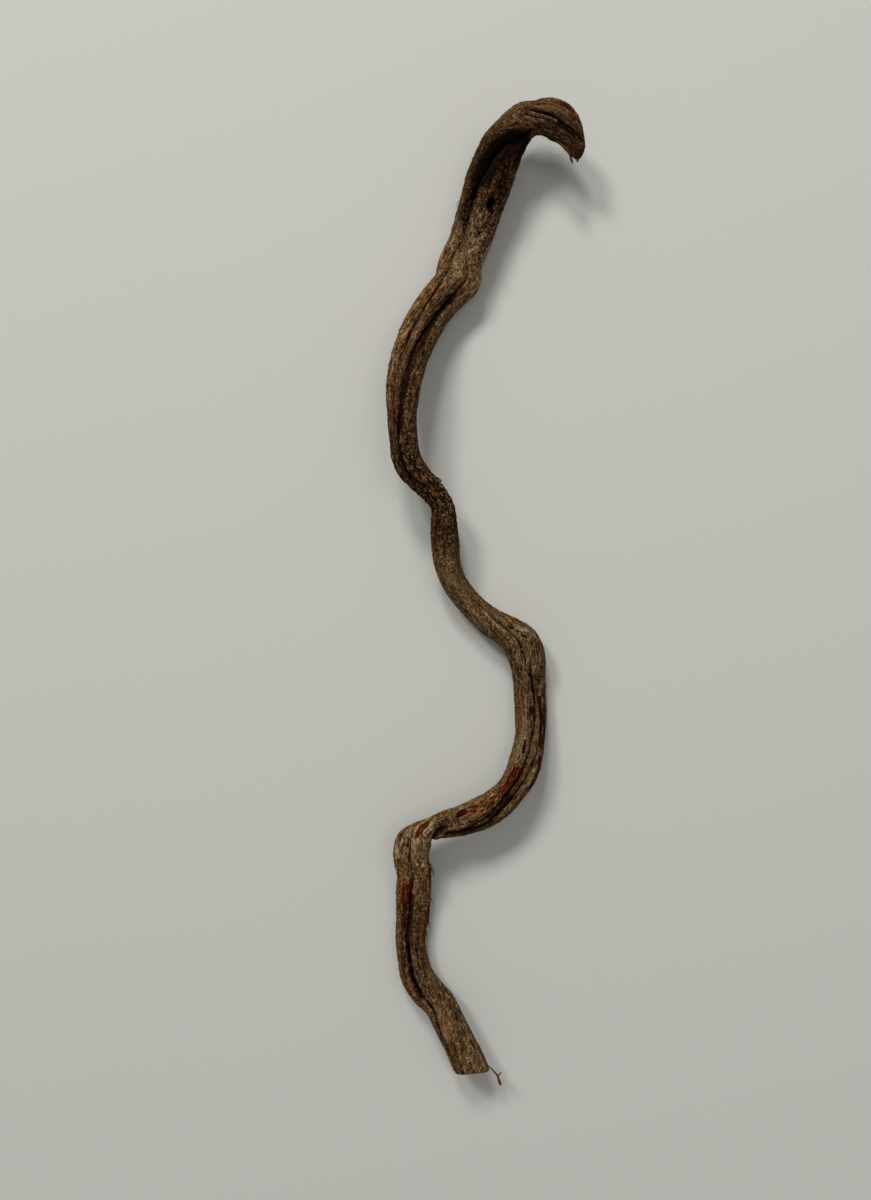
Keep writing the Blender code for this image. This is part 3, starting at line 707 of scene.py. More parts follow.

# dark stains, and painted shade inside the hook, under its arm, in the hollows, on shaded flanks
# and under the level run
darkStainsAndShade = {
    "inside the hook": (
        ((146, 28), (156, 54), (170, 76), (182, 89), (197, 99), (211, 104), (227, 109)), 13, 1.75,
    ),
    "left edge of the shaft": (((202, 126), (226, 127), (252, 130), (290, 136)), 7, 0.65),
    "furrow of the shaft": (((206, 101), (226, 108), (246, 115), (258, 118)), 5.6, 1.15),
    "below the hollow": (((156, 34), (174, 58), (190, 78), (206, 90)), 9, 1.45),
    "under the arm of the hook": (((126, 30), (142, 14), (164, 12), (188, 26)), 9, 0.8),
    "lower furrow of the shaft": (((250, 118), (290, 116)), 2.6, 0.6),
    "upper shaft": (((150, 36), (172, 50), (205, 62), (236, 52)), 14, 0.65),
    "knot hole": (((256, 63), (267, 59)), 6.5, 1.05),
    "tip of the hook": (((38, 60), (10, 72)), 10, 0.55),
    "end of the main groove": (((60, 66), (44, 72), (30, 88), (20, 112)), 4.5, 0.8),
    "outside of the hook": (((112, 92), (124, 99)), 7, 0.4),
    "underside of the hook": (((20, 0), (80, -10)), 10, 0.4),
    "inner furrow of the left bend": (((402, 54), (440, 57), (500, 65), (524, 70)), 4.8, 0.9),
    "flank of the middle ridge": (((396, 96), (436, 91), (474, 87)), 4.5, 0.5),
    "its lower end": (((520, 70), (544, 74), (567, 78), (610, 88), (652, 98)), 4.4, 0.85),
    "furrow above the waist": (((676, 104), (706, 122), (726, 132)), 4, 0.7),
    "waist": (((812, 72), (832, 84), (858, 76)), 10, 0.42),
    "left edge under the waist": (((808, 128), (850, 134)), 4, 0.5),
    "hollow at the fold": (((1400, 90), (1408, 78), (1419, 60), (1426, 36)), 4.2, 0.95),
    "left edge of the second elbow": (((1446, 164), (1455, 146), (1464, 142)), 4, 0.6),
    "inner side of the lower bend": (((1634, 46), (1650, 50), (1666, 44)), 5, 0.55),
    "head of the foot": (((1718, 62), (1734, 76)), 6, 0.45),
    "right edge of the run": (((1146, 32), (1180, 33), (1202, 36)), 4, 0.65),
    "under the slant": (((984, 98), (996, 112), (1008, 130)), 5, 0.5),
    "brown of the run": (((1112, 99), (1137, 98), (1164, 101)), 5, 0.45),
    "under the level run": (((1334, 44), (1360, 46), (1378, 50), (1398, 58)), 6.5, 0.75),
    "underside of the level run": (((1320, 14), (1390, 8)), 7, 0.45),
    "furrow of the run": (((1228, 97), (1262, 97), (1284, 87), (1308, 80), (1335, 72)), 3.4, 0.6),
    "between the furrows of the run": (((1292, 87), (1304, 81), (1318, 73), (1332, 68)), 5.5, 0.9),
    "behind the lobe of the hook": (((50, 56), (84, 44), (104, 40)), 5, 0.55),
    "hollow of the shoulder": (((1050, 92), (1058, 96), (1068, 98)), 4, 0.45),
    "brown of the shoulder": (((1046, 70), (1056, 60)), 6, 0.35),
    "ledge": (((1094, 92), (1100, 72), (1106, 44)), 2.6, 0.7),
    "furrow of the lower run": (((1540, 94), (1590, 99), (1618, 101), (1650, 102)), 4.2, 0.9),
    "inside of the lower bend": (((1664, 104), (1682, 108), (1702, 114)), 5.2, 0.85),
    "furrow of the foot": (((1712, 114), (1740, 126), (1810, 142)), 3.5, 0.5),
    "middle of the foot": (((1772, 80), (1812, 92)), 6, 0.3),
}


def painted(strokes, places, angles, radius):
    # the strongest of a table's soft strokes at each point, and the colour of its row
    strongest, colours = np.zeros(angles.shape), np.zeros(angles.shape)
    for line, halfWidth, strength, *colour in strokes.values():
        gap = abs(creaseOffset(line, places, angles, radius))
        stroke = 1 / (1 + (gap / halfWidth) ** stemShape["strokeFade"]) * strength
        if colour:
            colours = np.where(stroke > strongest, colour[0], colours)
        strongest = np.maximum(strongest, stroke)
    return strongest, colours


def stemGrid():
    # points of the bark as rings by columns, and the values that the material reads
    places = np.arange(0, routeDistance[-1] + 0.1, stemShape["ringStep"])
    radius = stemRadius(places)
    lines = furrowLines(places)
    angles, straight = columnAngles(lines)
    height, groove = stemRelief(places, angles, lines, radius)
    points = onOval(places, angles, height)
    tone, warmth, *wear = (
        np.broadcast_to(zone[:, None], angles.shape) for zone in smoothCurve(barkZones, places).T
    )
    peel, tint = painted(barePatches, places, angles, radius)
    pale, _ = painted(paleScuffs, places, angles, radius)
    # the dark stains together with their painted shade
    dark, _ = painted(darkStainsAndShade, places, angles, radius)
    reach = stemShape["grainRadius"]
    grain = (reach * np.cos(straight), reach * np.sin(straight), places[:, None])
    layers = {
        "grain": np.stack(np.broadcast_arrays(*grain), axis=-1),
        "marks": np.stack([peel, tint, pale], axis=-1),
        # painted shade from the depth in furrows, creases and hollows, the local tone, and the dark
        # stains with their painted shade
        "shade": np.stack([groove / stemShape["shadeDepth"], tone, dark], axis=-1),
        "wear": np.stack(wear, axis=-1),
        "warmth": warmth,
        "seam": seamAttribute(places, angles, lines, radius),
        "run": np.broadcast_to(sectionFrames(places)[3][:, None], points.shape),
        "sawn": np.zeros(angles.shape),
    }

    # rings near the foot lean over until the last one lies in the plane of the saw cut
    sawPoint = np.add(stemShape["sawPoint"], stemShape["centring"])
    sawFacing = unit(np.array(stemShape["sawFacing"]))
    over = (points - sawPoint) @ sawFacing
    first = (over > 0).argmax(axis=0)
    column = np.arange(points.shape[1])
    before, after = over[first - 1, column], over[first, column]
    crossing = first - 1 + before / (before - after)
    start = int(crossing.min()) - stemShape["sawRings"]
    count = int(round(crossing.mean())) - start
    index = start + np.arange(count + 1)[:, None] / count * (crossing - start)
    low = np.minimum(np.floor(index).astype(int), len(points) - 2)
    share = index - low

    def trimmed(grid):
        part = share[..., None] if grid.ndim == 3 else share
        leaning = grid[low, column] * (1 - part) + grid[low + 1, column] * part
        return np.concatenate([grid[:start], leaning])

    points = trimmed(points)
    layers = {name: trimmed(grid) for name, grid in layers.items()}
    # the rim of the saw cut is worn round, most at its two corners
    outward = unit(points - points.mean(axis=1, keepdims=True))
    wear, cornerWear, sharpness = stemShape["rimWear"]
    towardsCorner = abs(outward[-1] @ unit(np.cross(sawFacing, (0, 0, 1))))
    corner = wear + cornerWear * towardsCorner**sharpness
    depth = (points - sawPoint) @ sawFacing
    near = np.clip(1 + depth / (stemShape["rimSlope"] * corner), 0, 1)
    points = points - outward * (corner * (1 - np.sqrt(1 - near**2)))[..., None]
    points[..., 2] = np.maximum(points[..., 2], 0)
    return points, layers


def stemMesh():
    points, layers = stemGrid()
    rings, columns = points.shape[:2]
    count = rings * columns
    loops = list(np.arange(count).reshape(rings, columns))
    vertices = [points.reshape(-1, 3)]
    values = {name: [grid.reshape(count, -1)] for name, grid in layers.items()}
    wobble = np.random.default_rng(stemShape["tipSeed"])
    caps, centres = {}, {}
    # rings that close the tip (0) and the foot (-1), closer and closer to the middle
    for ring, shares in ((0, stemShape["tipRings"]), (-1, stemShape["footRings"])):
        caps[ring] = [loops[ring]]
        centre = points[ring].mean(axis=0)
        for part in shares:
            made = centre + part * (points[ring] - centre)
            if ring == 0:
                made = made + wobble.normal(0, stemShape["tipRoughness"], made.shape)
            vertices.append(made)
            for name, layer in layers.items():
                value = layer[ring].reshape(columns, -1)
                value = value * (part, part, 1) if name == "grain" else value
                values[name].append(value - ring if name == "sawn" else value)
            caps[ring].append(np.arange(count, count + columns))
            count += columns
        centres[ring] = made.mean(axis=0, keepdims=True)
    follow = np.roll(np.arange(columns), -1)

    def skin(one, two):
        return np.column_stack([one, one[follow], two[follow], two])

    faces = [skin(one, two) for one, two in zip(loops, loops[1:])]
    faces += [skin(one, two) for one, two in zip(caps[-1], caps[-1][1:])]
    faces += [skin(two, one) for one, two in zip(caps[0], caps[0][1:])]
    faces = np.concatenate(faces).tolist()
    for ring, centre in centres.items():
        vertices.append(centre)
        for name in layers:
            value = values[name][0][:1]
            value = value * (0, 0, 1) if name == "grain" else value
            values[name].append(value - ring if name == "sawn" else value)
        last = caps[ring][-1]
        pair = (last, last[follow]) if ring else (last[follow], last)
        faces += np.column_stack([*pair, np.full(columns, count)]).tolist()
        count += 1
    mesh = bpy.data.meshes.new("vineStem")
    mesh.from_pydata((np.concatenate(vertices) * mm).tolist(), [], faces)
    for name, grids in values.items():
        hold(mesh, name, np.concatenate(grids))
    return mesh


# Noise patterns over the grain: how far they are drawn out along the stem (1 not at all, 0
# without end), offset, scale, detail and roughness
grainNoises = {
    "fibres": (0.10, 3.1, 0.75, 4.0, 0.65),
    "blotches": (0.55, 9.3, 0.16, 5.0, 0.68),
    "mottle": (0.7, 5.5, 0.42, 5.0, 0.78),
    "fine splits": (0.05, 1.1, 1.3, 2.0, 0.6),
    "bent cracks": (1.0, 4.4, 0.30, 2.0, 0.55),
    "wandering grain": (0.5, 0.0, 0.10, 2.0, 0.55),
    "torn edges": (0.12, 5.0, 0.42, 4.0, 0.7),
    "coarse fibres": (0.10, 2.0, 0.40, 3.0, 0.6),
    "splits": (0.045, 7.0, 0.15, 2.0, 0.5),
    "pitted places": (0.7, 1.0, 0.11, 2.0, 0.55),
    "lumps": (0.8, 6.0, 0.075, 3.0, 0.55),
    "knurls": (0.9, 3.0, 0.24, 2.0, 0.55),
}
grainWander = 5.0  # how far the grain and the cracks wander, in millimetres

# Heights and depths in millimetres
barkRelief = {
    "Fibre height": 0.75, "Split depth": 0.9, "Crack depth": 1.2, "Pit depth": 1.4,
    "Lump height": 1.3, "Knurl height": 0.55, "Peel depth": 0.8, "Seed": 4.0,
}

barkFinish = {
    "deepest": (0.0056, 0.0015, 0.0007), "dark": (0.034, 0.0142, 0.0057),
    "middle": (0.124, 0.077, 0.034), "light": (0.272, 0.196, 0.114),
    "palest": (0.58, 0.46, 0.30), "grey": (0.27, 0.215, 0.145),
    "darkRed": (0.036, 0.0052, 0.0024), "orange": (0.205, 0.056, 0.010),
    # gold colours the painted highlights, the glints on the bare inner bark
    "gold": (0.38, 0.175, 0.055),
    "redTurn": (1.35, 0.72, 0.45), "rustTurn": (1.30, 0.76, 0.34),  # multiply the colour
    "tonePlaces": (0.0, 0.22, 0.48, 0.74, 1.0),  # of the five tones from deepest to palest
    # how much lighter or darker the patterns make the bark
    "fibreSwing": 0.45, "mottleSwing": 0.75, "blotchLevel": (0.43, 0.58),
    "reliefLightAndShade": 0.20, "speckLight": 0.16, "scuffLight": 0.13,
    "splitDark": 0.20, "crackDark": (0.03, 0.36),
    "redShare": 0.6, "greyShare": 0.6, "rustShare": 0.8,
    # what is left of the light where painted shade darkens the deepest furrows, the stains with
    # their shaded hollows, and the black lines
    "furrowLeft": 0.42, "stainAndShadeLeft": 0.14, "stainAndShadeCold": 0.72, "lineLeft": 0.10,
    "roughness": 0.88, "roughSwing": 0.06, "bareSmoother": 0.22, "shine": 0.03,
    "bumpStrength": 0.7, "bumpDistance": 0.0011,
}


def grainNoise(grain, name):
    along, shift, scale, detail, roughness = grainNoises[name]
    return put(grain.tree, "ShaderNodeTexNoise", {
        "Vector": stretch(grain, along, shift), "Scale": scale, "Detail": detail,
        "Roughness": roughness,
    })


def barkPatternGroup():
    tree, side = newTree("ShaderNodeTree", "barkPattern", {"Grain": "Vector", "Seed": 0.0})
    grain = vectorCalc("ADD", side["Grain"], side["Seed"])
    fibres = grainNoise(grain, "fibres")
    mottle = grainNoise(grain, "mottle")
    splits = smooth(abs(grainNoise(grain, "fine splits") - 0.5), 0.035, 0.0)
    bend = grainNoise(grain, "bent cracks")
    bend = vectorCalc("SCALE", combine(bend, bend, bend), grainWander)
    plates = voronoi(vectorCalc("ADD", stretch(grain, 0.55, 6.1), bend), 0.34, "DISTANCE_TO_EDGE")
    cracks = smooth(plates, 0.16, 0.02)
    return giveOut(tree, "NodeSocketFloat", {
        "Fibres": fibres, "Blotches": grainNoise(grain, "blotches"), "Mottle": mottle,
        "Specks": smooth(mottle, 0.60, 0.68), "Splits": splits, "Cracks": cracks,
        "Height": fibres + mottle * 0.5 - splits * 0.5 - cracks * 0.6,
    })


def mixColours(factor, one, two, how="MIX"):
    values = (factor, one, two)
    return put(treeOf(values), "ShaderNodeMix", values, data_type="RGBA", blend_type=how)


def ramp(value, stops):
    wire = put(value.tree, "ShaderNodeValToRGB", (value,))
    elements = wire.socket.node.color_ramp.elements
    while len(elements) < len(stops):
        elements.new(0.5)
    for element, (place, colour) in zip(elements, stops):
        element.position = place
        element.color = (*colour, 1)
    return wire


def attribute(tree, name, output="Vector"):
    return put(tree, "ShaderNodeAttribute", output=output, attribute_name=name)


def newMaterial(name, constants):
    # a material, its node tree and the inputs of its shader
    material = bpy.data.materials.new(name)
    material.use_nodes = True
    inputs = material.node_tree.nodes["Principled BSDF"].inputs
    for label, value in constants.items():
        feed(inputs[label], value)
    return material, material.node_tree, inputs


def wanderingGrain(grain):
    shift = grainNoise(grain, "wandering grain")
    shift = vectorCalc("SCALE", combine(shift, shift, 0.0), grainWander)
    return vectorCalc("ADD", grain, shift)


def patchEdge(wandering, peel):
    # over about 0.4 where the outer bark is gone, with an edge torn along the fibres
    return peel + calc("MULTIPLY_ADD", grainNoise(wandering, "torn edges"), 2.0, -1.06)


def barkMaterial(patternGroup):
    look = barkFinish
    material, tree, shader = newMaterial("barkSkin", {"Specular IOR Level": look["shine"]})
    grain = attribute(tree, "grain")
    peel, tint, pale = parts(attribute(tree, "marks"))
    groove, tone, dark = parts(attribute(tree, "shade"))
    cracked, _, _ = parts(attribute(tree, "wear"))
    seam, seamNear, seamWidth = parts(attribute(tree, "seam"))
    pattern = put(tree, "ShaderNodeGroup", {"Grain": grain}, node_tree=patternGroup).all()
    fibres, mottle, splits = pattern["Fibres"], pattern["Mottle"], pattern["Splits"]

    def blotches(low, high):
        return linear(pattern["Blotches"], 0.3, 0.7, low, high)

    # lightness follows the fibres and the blotches, with painted light and shade from the relief:
    # raised bark lighter, sunken bark darker
    pale = smooth(pale + centred(fibres, 0.6), 0.15, 0.85)
    dark = smooth(dark + centred(mottle, -0.5), 0.12, 0.80)
    level = centred(fibres, look["fibreSwing"]) + centred(mottle, look["mottleSwing"])
    level += blotches(*look["blotchLevel"])
    level += attribute(tree, "relief", "Fac") * look["reliefLightAndShade"]
    level -= splits * look["splitDark"]
    level -= pattern["Cracks"] * linear(cracked, 0.35, 1.0, *look["crackDark"])
    level += pattern["Specks"] * look["speckLight"]
    level += pale * look["scuffLight"]
    tones = (look[name] for name in ("deepest", "dark", "middle", "light", "palest"))
    colour = ramp(level, list(zip(look["tonePlaces"], tones)))
    # reddish brown here, grey there
    reds = attribute(tree, "warmth", "Fac") * blotches(0.75, 0.1) * look["redShare"]
    colour = mixColours(reds, colour, mixColours(1.0, colour, look["redTurn"], "MULTIPLY"))
    greys = pale * smooth(mottle, 0.42, 0.60, 0.0, look["greyShare"])
    colour = mixColours(greys, colour, look["grey"])

    # the inner bark of the bare patches, orange streaks inside and dark red along the edge
    seeded = vectorCalc("ADD", grain, (barkRelief["Seed"],) * 3)
    edge = patchEdge(wanderingGrain(seeded), peel)
    bare = smooth(edge, 0.40, 0.50)
    streaks = tint * linear(fibres, 0.46, 0.57, 0.0, 1.3) * smooth(edge, 0.52, 0.95)
    inner = mixColours(streaks, look["darkRed"], look["orange"])
    # glints: painted highlights in gold along the brightest fibres of the bare patches
    glints = smooth(fibres, 0.54, 0.66) * smooth(edge, 0.5, 0.9) * tint
    inner = mixColours(glints, inner, look["gold"])
    holes = calc("MAXIMUM", smooth(mottle, 0.50, 0.36), splits)
    inner = mixColours(holes * 0.8, inner, look["deepest"])
    colour = mixColours(bare, colour, inner)
    rusty = smooth(edge, 0.05, 0.45) * (tint * look["rustShare"])
    colour = mixColours(rusty, colour, mixColours(1.0, colour, look["rustTurn"], "MULTIPLY"))

    # local tone, then painted shade in the furrows, creases and hollows, and the dark stains with
    # their painted shade
    shade = tone * linear(groove, 0.05, 1.1, 1.0, look["furrowLeft"])
    shade *= linear(dark, 0.0, 1.0, 1.0, look["stainAndShadeLeft"])
    # crisp black lines along the furrows, seams and cracks: painted shade in the deep furrows,
    # holes and under edges, with the dark of the cracks
    line = smooth((abs(seam) + centred(mottle, 1.1)) / seamWidth, 1.05, 0.35)
    line *= smooth(seamNear - seamWidth, 2.6, 1.4)
    line *= smooth(seamWidth, 0.1, 0.5)
    shade *= linear(line, 0.0, 1.0, 1.0, look["lineLeft"])
    redder = shade * linear(dark, 0.0, 1.0, 1.0, look["stainAndShadeCold"])
    colour = mixColours(1.0, colour, combine(shade, redder, redder), "MULTIPLY")
    feed(shader["Base Color"], colour)
    rough, swing = look["roughness"], look["roughSwing"]
    rough = blotches(rough + swing, rough - swing) - bare * look["bareSmoother"]
    feed(shader["Roughness"], rough)
    feed(shader["Normal"], put(tree, "ShaderNodeBump", {
        "Strength": look["bumpStrength"], "Distance": look["bumpDistance"],
        "Height": pattern["Height"],
    }))
    return material


patternGroup = barkPatternGroup()
barkSkin = barkMaterial(patternGroup)
print("materials made")


def barkReliefTree():
    # fibres, splits, plates, pits and the edges of the bare patches
    tree, side = newTree("GeometryNodeTree", "barkRelief", {"Geometry": "Geometry", **barkRelief})
    grain = vectorCalc("ADD", named(tree, "grain"), side["Seed"])
    wandering = wanderingGrain(grain)
    peel, _, _ = parts(named(tree, "marks"))
    cracked, pitted, _ = parts(named(tree, "wear"))

    total = centred(grainNoise(wandering, "coarse fibres"), 1.0) * side["Fibre height"]
    splits = smooth(abs(grainNoise(wandering, "splits") - 0.5), 0.045, 0.0)
    total -= splits * side["Split depth"]
    plates = voronoi(stretch(wandering, 0.42, 4.0), 0.19, "DISTANCE_TO_EDGE")
    total -= smooth(plates, 0.13, 0.0) * cracked * side["Crack depth"]
    holes = smooth(voronoi(stretch(wandering, 0.6, 8.0), 0.26), 0.42, 0.12)
    holes *= smooth(grainNoise(wandering, "pitted places"), 0.46, 0.60)
    total -= holes * pitted * side["Pit depth"]

    # a bare patch has a ragged edge and a smoother floor
    edge = patchEdge(wandering, peel)
    bare = smooth(edge, 0.40, 0.58)
    lip = smooth(edge, 0.20, 0.42) * (1.0 - bare)
    relief = total * calc("MULTIPLY_ADD", bare, -0.55, 1.0) + lip * 0.35
    total = relief - bare * side["Peel depth"]
    total += centred(grainNoise(grain, "lumps"), 1.0) * side["Lump height"]
    total += centred(grainNoise(grain, "knurls"), 1.0) * side["Knurl height"]
    total *= 1.0 - named(tree, "sawn", "FLOAT")

    bark = side["Geometry"]
    for name, value in (("relief", relief), ("bare", bare)):
        bark = put(tree, "GeometryNodeStoreNamedAttribute",
                   {"Geometry": bark, "Name": name, "Value": value}, domain="POINT")
    offset = vectorCalc("SCALE", put(tree, "GeometryNodeInputNormal"), total * mm)
    bark = put(tree, "GeometryNodeSetPosition", {"Geometry": bark, "Offset": offset})
    return endTree(tree, bark, barkSkin)


vineStem = makePiece("vineStem", stemMesh(), barkReliefTree(), barkRelief)


# Loose bark: small curled flakes that stand over the stem where it is scaly

barkFlakes = {
    "Flakes per square metre": 26000.0, "Length": 5.0, "Width": 2.1, "Thickness": 0.45,
    "Curl": 0.22, "Seed": 5,
}
# lowest and highest turn about each axis in radians, and lowest and highest scale along it
flakeTurns = ((-0.25, 0.25), (-0.25, 0.05), (-0.4, 0.4))
flakeScales = ((0.4, 1.35), (0.45, 1.25), (0.6, 1.2))


def barkFlakesTree():
    tree, side = newTree("GeometryNodeTree", "barkFlakes", {"Geometry": "Geometry", **barkFlakes})

    def chance(ranges, offset):
        wires = []
        for axis, (low, high) in enumerate(ranges):
            values = {"Min": low, "Max": high, "Seed": side["Seed"] + (offset + axis)}
            wires.append(put(tree, "FunctionNodeRandomValue", values, data_type="FLOAT"))
        return combine(*wires)

    # one flake: a thin pointed scale, curled up towards one end
    box = put(tree, "GeometryNodeMeshCube", ((1.0, 1.0, 1.0), 6, 3, 2))
    x, y, z = parts(put(tree, "GeometryNodeInputPosition"))
    narrow = 1.0 - calc("POWER", abs(x), 2.0) * 3.2
    rise = calc("POWER", x + 0.5, 2.0) * side["Curl"]
    shape = combine(
        x * side["Length"],
        y * side["Width"] * narrow,
        z * side["Thickness"] * narrow + (rise + y * y * -0.20) * side["Length"],
    )
    shape = vectorCalc("SCALE", shape, mm)
    flake = put(tree, "GeometryNodeSetPosition", {"Geometry": box, "Position": shape})

    # they lie along the stem, most where it is flaky and none on bare or sawn wood
    stem = put(tree, "GeometryNodeObjectInfo", (vineStem,), "Geometry")
    _, _, flaky = parts(named(tree, "wear"))
    density = calc("POWER", flaky, 1.5) * side["Flakes per square metre"]
    density *= 1.0 - named(tree, "bare", "FLOAT")
    density *= 1.0 - named(tree, "sawn", "FLOAT")
    scatter = put(tree, "GeometryNodeDistributePointsOnFaces",
                  {"Mesh": stem, "Density": density, "Seed": side["Seed"]})
    turned = put(tree, "FunctionNodeAlignRotationToVector",
                 {"Vector": scatter.all()["Normal"]}, axis="Z")
    turned = put(tree, "FunctionNodeAlignRotationToVector",
                 {"Rotation": turned, "Vector": named(tree, "run")}, axis="X", pivot_axis="Z")
    twist = put(tree, "FunctionNodeEulerToRotation", (chance(flakeTurns, 1),))
    turned = put(tree, "FunctionNodeRotateRotation", (turned, twist), rotation_space="LOCAL")
    placed = put(tree, "GeometryNodeInstanceOnPoints", {
        "Points": scatter, "Instance": flake, "Rotation": turned,
        "Scale": chance(flakeScales, 4),
    })
    return endTree(tree, placed, barkSkin)


flakes = makePiece("barkFlakes", bpy.data.meshes.new("barkFlakes"), barkFlakesTree(), barkFlakes)


# Strands: torn fibres and splinters that stand clear of the stem. Each is a line of points,
# given as x, y, z in millimetres or as distance, angle and height over the bark, with the
# half thickness at its two ends.

strands = {
    "peeled strip under the hook": ("place", (
        (107, 683.5, 60), (112.5, 680, 61), (117.5, 674.5, 62), (122, 669, 62.5),
        (126.5, 664.5, 62), (129, 659.5, 60.5), (130.5, 654, 59)), 2.3, 1.9),
    "splinter off the strip": (
        "place", ((126, 665, 62), (131, 661.5, 63), (134, 660, 63)), 1.2, 0.8,
    ),
    "end of the strip": (
        "place", ((129.5, 656, 59), (131.8, 653.4, 58.5), (131.2, 650.6, 58)), 2.0, 1.0,
    ),
    "torn point of the hook": (
        "place", ((134, 668, 64), (134.5, 662, 64.5), (134, 655.5, 64)), 3.2, 1.2,
    ),
    "second torn point": ("place", ((139, 664, 62), (140, 658, 62), (139, 651.5, 61)), 4.4, 1.3),
    "third torn point": ("place", ((143, 668, 66), (144, 663, 67), (143.5, 658.0, 67)), 3.0, 1.0),
    "small knob of the hook tip": (
        "place", ((147.5, 674.5, 63), (149.5, 674.3, 63), (151, 674.3, 63)), 2.2, 2.0,
    ),
    "fibre on the shaft": (
        "stem", ((262, 176, -0.5), (266, 179, 1.5), (272, 180, 2.2), (276, 178, 2.0)), 0.45, 0.25,
    ),
    "splinter of the lower run": (
        "stem", ((1496, 8, -0.5), (1503, 4, 1.6), (1512, 2, 4.5)), 1.1, 0.4,
    ),
    "short splinter": ("stem", ((1502, 14, -0.5), (1511, 10, 2.4), (1517, 8, 3.6)), 0.9, 0.4),
    "second splinter": ("stem", ((1553, 6, -0.5), (1559, 4, 2.0), (1562, 6, 4.2)), 0.7, 0.3),
    "third splinter": ("stem", ((1588, 8, -0.5), (1594, 5, 1.8), (1603, 3, 3.8)), 1.2, 0.4),
    "fourth splinter": ("stem", ((1604, 12, -0.5), (1612, 9, 1.4), (1622, 8, 2.6)), 1.2, 0.4),
    "peel on the left bend": (
        "stem", ((640, 138, -0.6), (632, 135, 1.0), (622, 132, 1.6), (614, 131, 0.6)), 1.5, 0.7,
    ),
    "peel beside the furrow": (
        "stem", ((420, 77, 0.2), (432, 78, 1.2), (444, 81, 1.4), (452, 84, 0.2)), 1.6, 0.8,
    ),
    "flake at the waist": ("stem", ((742, 22, -0.4), (747, 18, 1.4), (753, 17, 1.8)), 1.3, 0.8),
    "loose fibre at the foot": ("place", (
        (6.5, -731, 41), (11, -736, 40.5), (15.5, -741.5, 39), (19.5, -747, 37),
        (21.5, -753, 35.5), (23, -759.5, 34)), 0.8, 2.2),
    "tip of the loose fibre": (
        "place", ((22.4, -757, 34.6), (24, -761, 33.8), (25, -763.5, 33.2)), 2.3, 2.1,
    ),
    "fork of the loose fibre": (
        "place", ((19.8, -748.5, 36.8), (22.5, -745.5, 37.2), (25.5, -742, 38)), 1.2, 0.9,
    ),
}
strandShape = {"Sides": 7, "Step": 1.2, "Wobble": 0.35, "Flatness": 0.7, "Seed": 2.0}
strandFinish = {
    "roughness": 0.85, "shine": 0.15,
    "tones": (
        (0.30, (0.014, 0.005, 0.0025)), (0.50, (0.060, 0.022, 0.008)),
        (0.66, (0.20, 0.085, 0.028)),
    ),
}


def strandMaterial(patternGroup):
    look = strandFinish
    constants = {"Roughness": look["roughness"], "Specular IOR Level": look["shine"]}
    material, tree, shader = newMaterial("tornFibre", constants)
    place = vectorCalc("SCALE", put(tree, "ShaderNodeTexCoord", output="Object"), 1 / mm)
    pattern = put(tree, "ShaderNodeGroup", {"Grain": place}, node_tree=patternGroup).all()
    feed(shader["Base Color"], ramp(pattern["Fibres"], look["tones"]))
    return material


def strandsTree(material):
    tree, side = newTree("GeometryNodeTree", "tornStrands", {"Geometry": "Geometry", **strandShape})
    curve = put(tree, "GeometryNodeMeshToCurve", (side["Geometry"],))
    curve = put(tree, "GeometryNodeCurveSplineType", (curve,), spline_type="CATMULL_ROM")
    curve = put(tree, "GeometryNodeResampleCurve",
                {"Curve": curve, "Length": side["Step"] * mm}, mode="LENGTH")
    place = vectorCalc("ADD", put(tree, "GeometryNodeInputPosition"), side["Seed"])
    shake = {"Vector": place, "Scale": 180.0, "Detail": 2.0}
    shake = put(tree, "ShaderNodeTexNoise", shake, "Color")
    shift = vectorCalc("SUBTRACT", shake, (0.5, 0.5, 0.5))
    shift = vectorCalc("SCALE", shift, side["Wobble"] * (2 * mm))
    curve = put(tree, "GeometryNodeSetPosition", {"Geometry": curve, "Offset": shift})
    ring = put(tree, "GeometryNodeCurvePrimitiveCircle", (side["Sides"], 1.0))
    flat = combine(1.0, side["Flatness"], 1.0)
    ring = put(tree, "GeometryNodeTransform", {"Geometry": ring, "Scale": flat})
    thick = named(tree, "thick", "FLOAT") * mm
    tube = put(tree, "GeometryNodeCurveToMesh", (curve, ring, thick, True))
    return endTree(tree, tube, material)


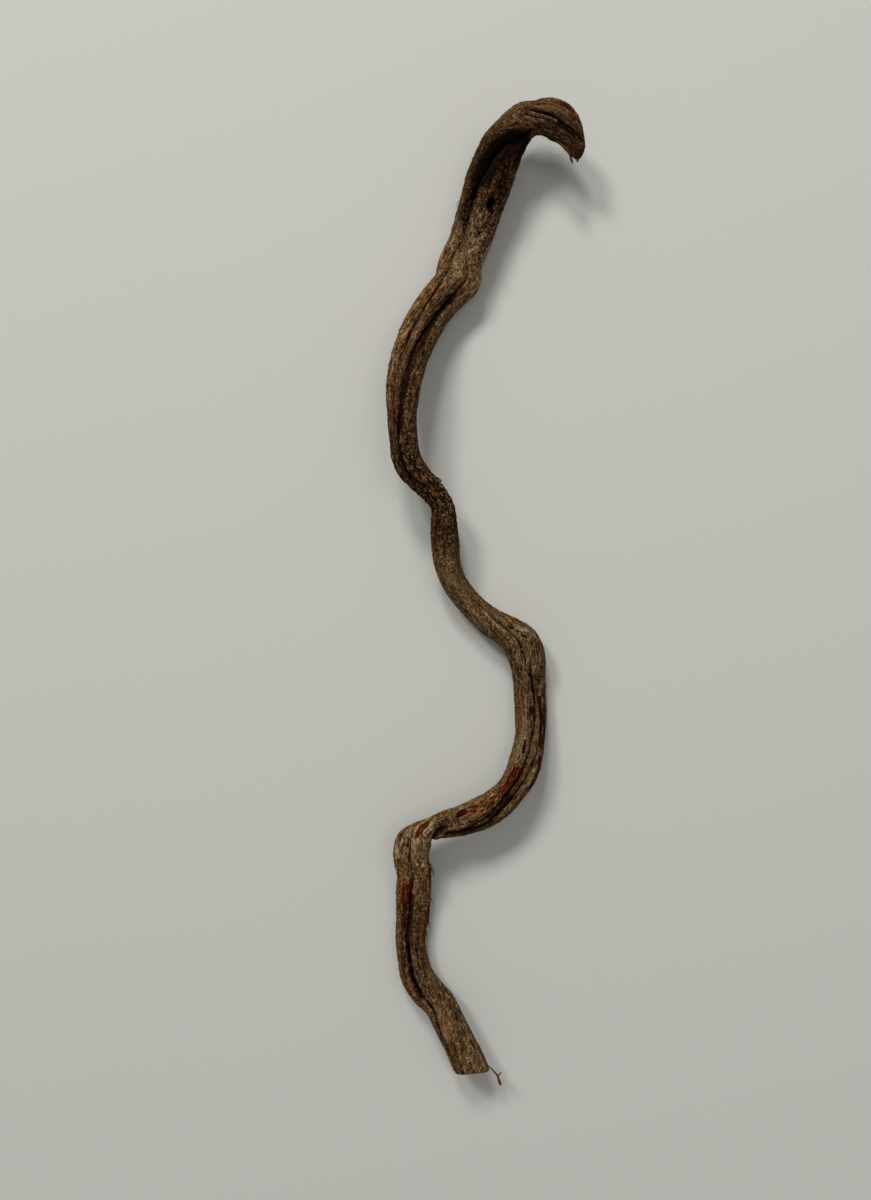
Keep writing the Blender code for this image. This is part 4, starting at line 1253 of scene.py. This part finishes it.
def strandLines():
    points, edges, thick = [], [], []
    for kind, rows, near, far in strands.values():
        line = overStem(rows) if kind == "stem" else np.add(rows, stemShape["centring"])
        first = len(points)
        points += (line * mm).tolist()
        edges += [(i, i + 1) for i in range(first, len(points) - 1)]
        thick += np.linspace(near, far, len(line)).tolist()
    mesh = bpy.data.meshes.new("tornStrands")
    mesh.from_pydata(points, edges, [])
    hold(mesh, "thick", thick)
    return mesh


tornFibre = strandMaterial(patternGroup)
tornStrands = makePiece("tornStrands", strandLines(), strandsTree(tornFibre), strandShape)


# Floor, light and camera

studio = {
    "floorColour": (0.50, 0.50, 0.495), "floorRoughness": 0.9, "floorSize": 12.0,
    "lampColour": (0.985, 0.972, 0.905), "worldStrength": 0.30,
    "lamps": {  # place, power in watts, size
        "keyLight": ((-5.4, 7.0, 6.8), 640.0, 2.6),
        "secondLight": ((-2.2, 9.0, 6.8), 640.0, 2.6),
        "fillLight": ((1.5, 0.5, 4.0), 25.0, 3.0),
    },
    "cameraPlace": (-0.0757, -0.0119, 1.376), "lens": 26.01,
}


def setStage():
    scene = bpy.context.scene
    half = studio["floorSize"] / 2
    corners = [(-half, -half, 0), (half, -half, 0), (half, half, 0), (-half, half, 0)]
    mesh = bpy.data.meshes.new("studioFloor")
    mesh.from_pydata(corners, [], [(0, 1, 2, 3)])
    look = {"Base Color": studio["floorColour"], "Roughness": studio["floorRoughness"]}
    mesh.materials.append(newMaterial("paleFloor", look)[0])
    objectOf("studioFloor", mesh)
    for name, (place, power, size) in studio["lamps"].items():
        light = bpy.data.lights.new(name, "AREA")
        light.shape = "DISK"
        light.size = size
        light.energy = power
        light.color = studio["lampColour"]
        lamp = objectOf(name, light)
        lamp.location = place
        lamp.rotation_euler = (-Vector(place)).to_track_quat("-Z", "Y").to_euler()
    scene.world = bpy.data.worlds.new("studioWorld")
    scene.world.use_nodes = True
    sky = scene.world.node_tree.nodes["Background"].inputs
    feed(sky["Color"], studio["lampColour"])
    feed(sky["Strength"], studio["worldStrength"])
    scene.camera = objectOf("photoCamera", bpy.data.cameras.new("photoCamera"))
    scene.camera.location = studio["cameraPlace"]
    scene.camera.data.sensor_width = 36
    scene.camera.data.lens = studio["lens"]
    scene.camera.data.clip_start = 0.01
    scene.view_settings.view_transform = "Standard"


setStage()
print("stage set")

for piece in (vineStem, flakes, tornStrands):
    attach(piece, "root")
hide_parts("liana_vine")
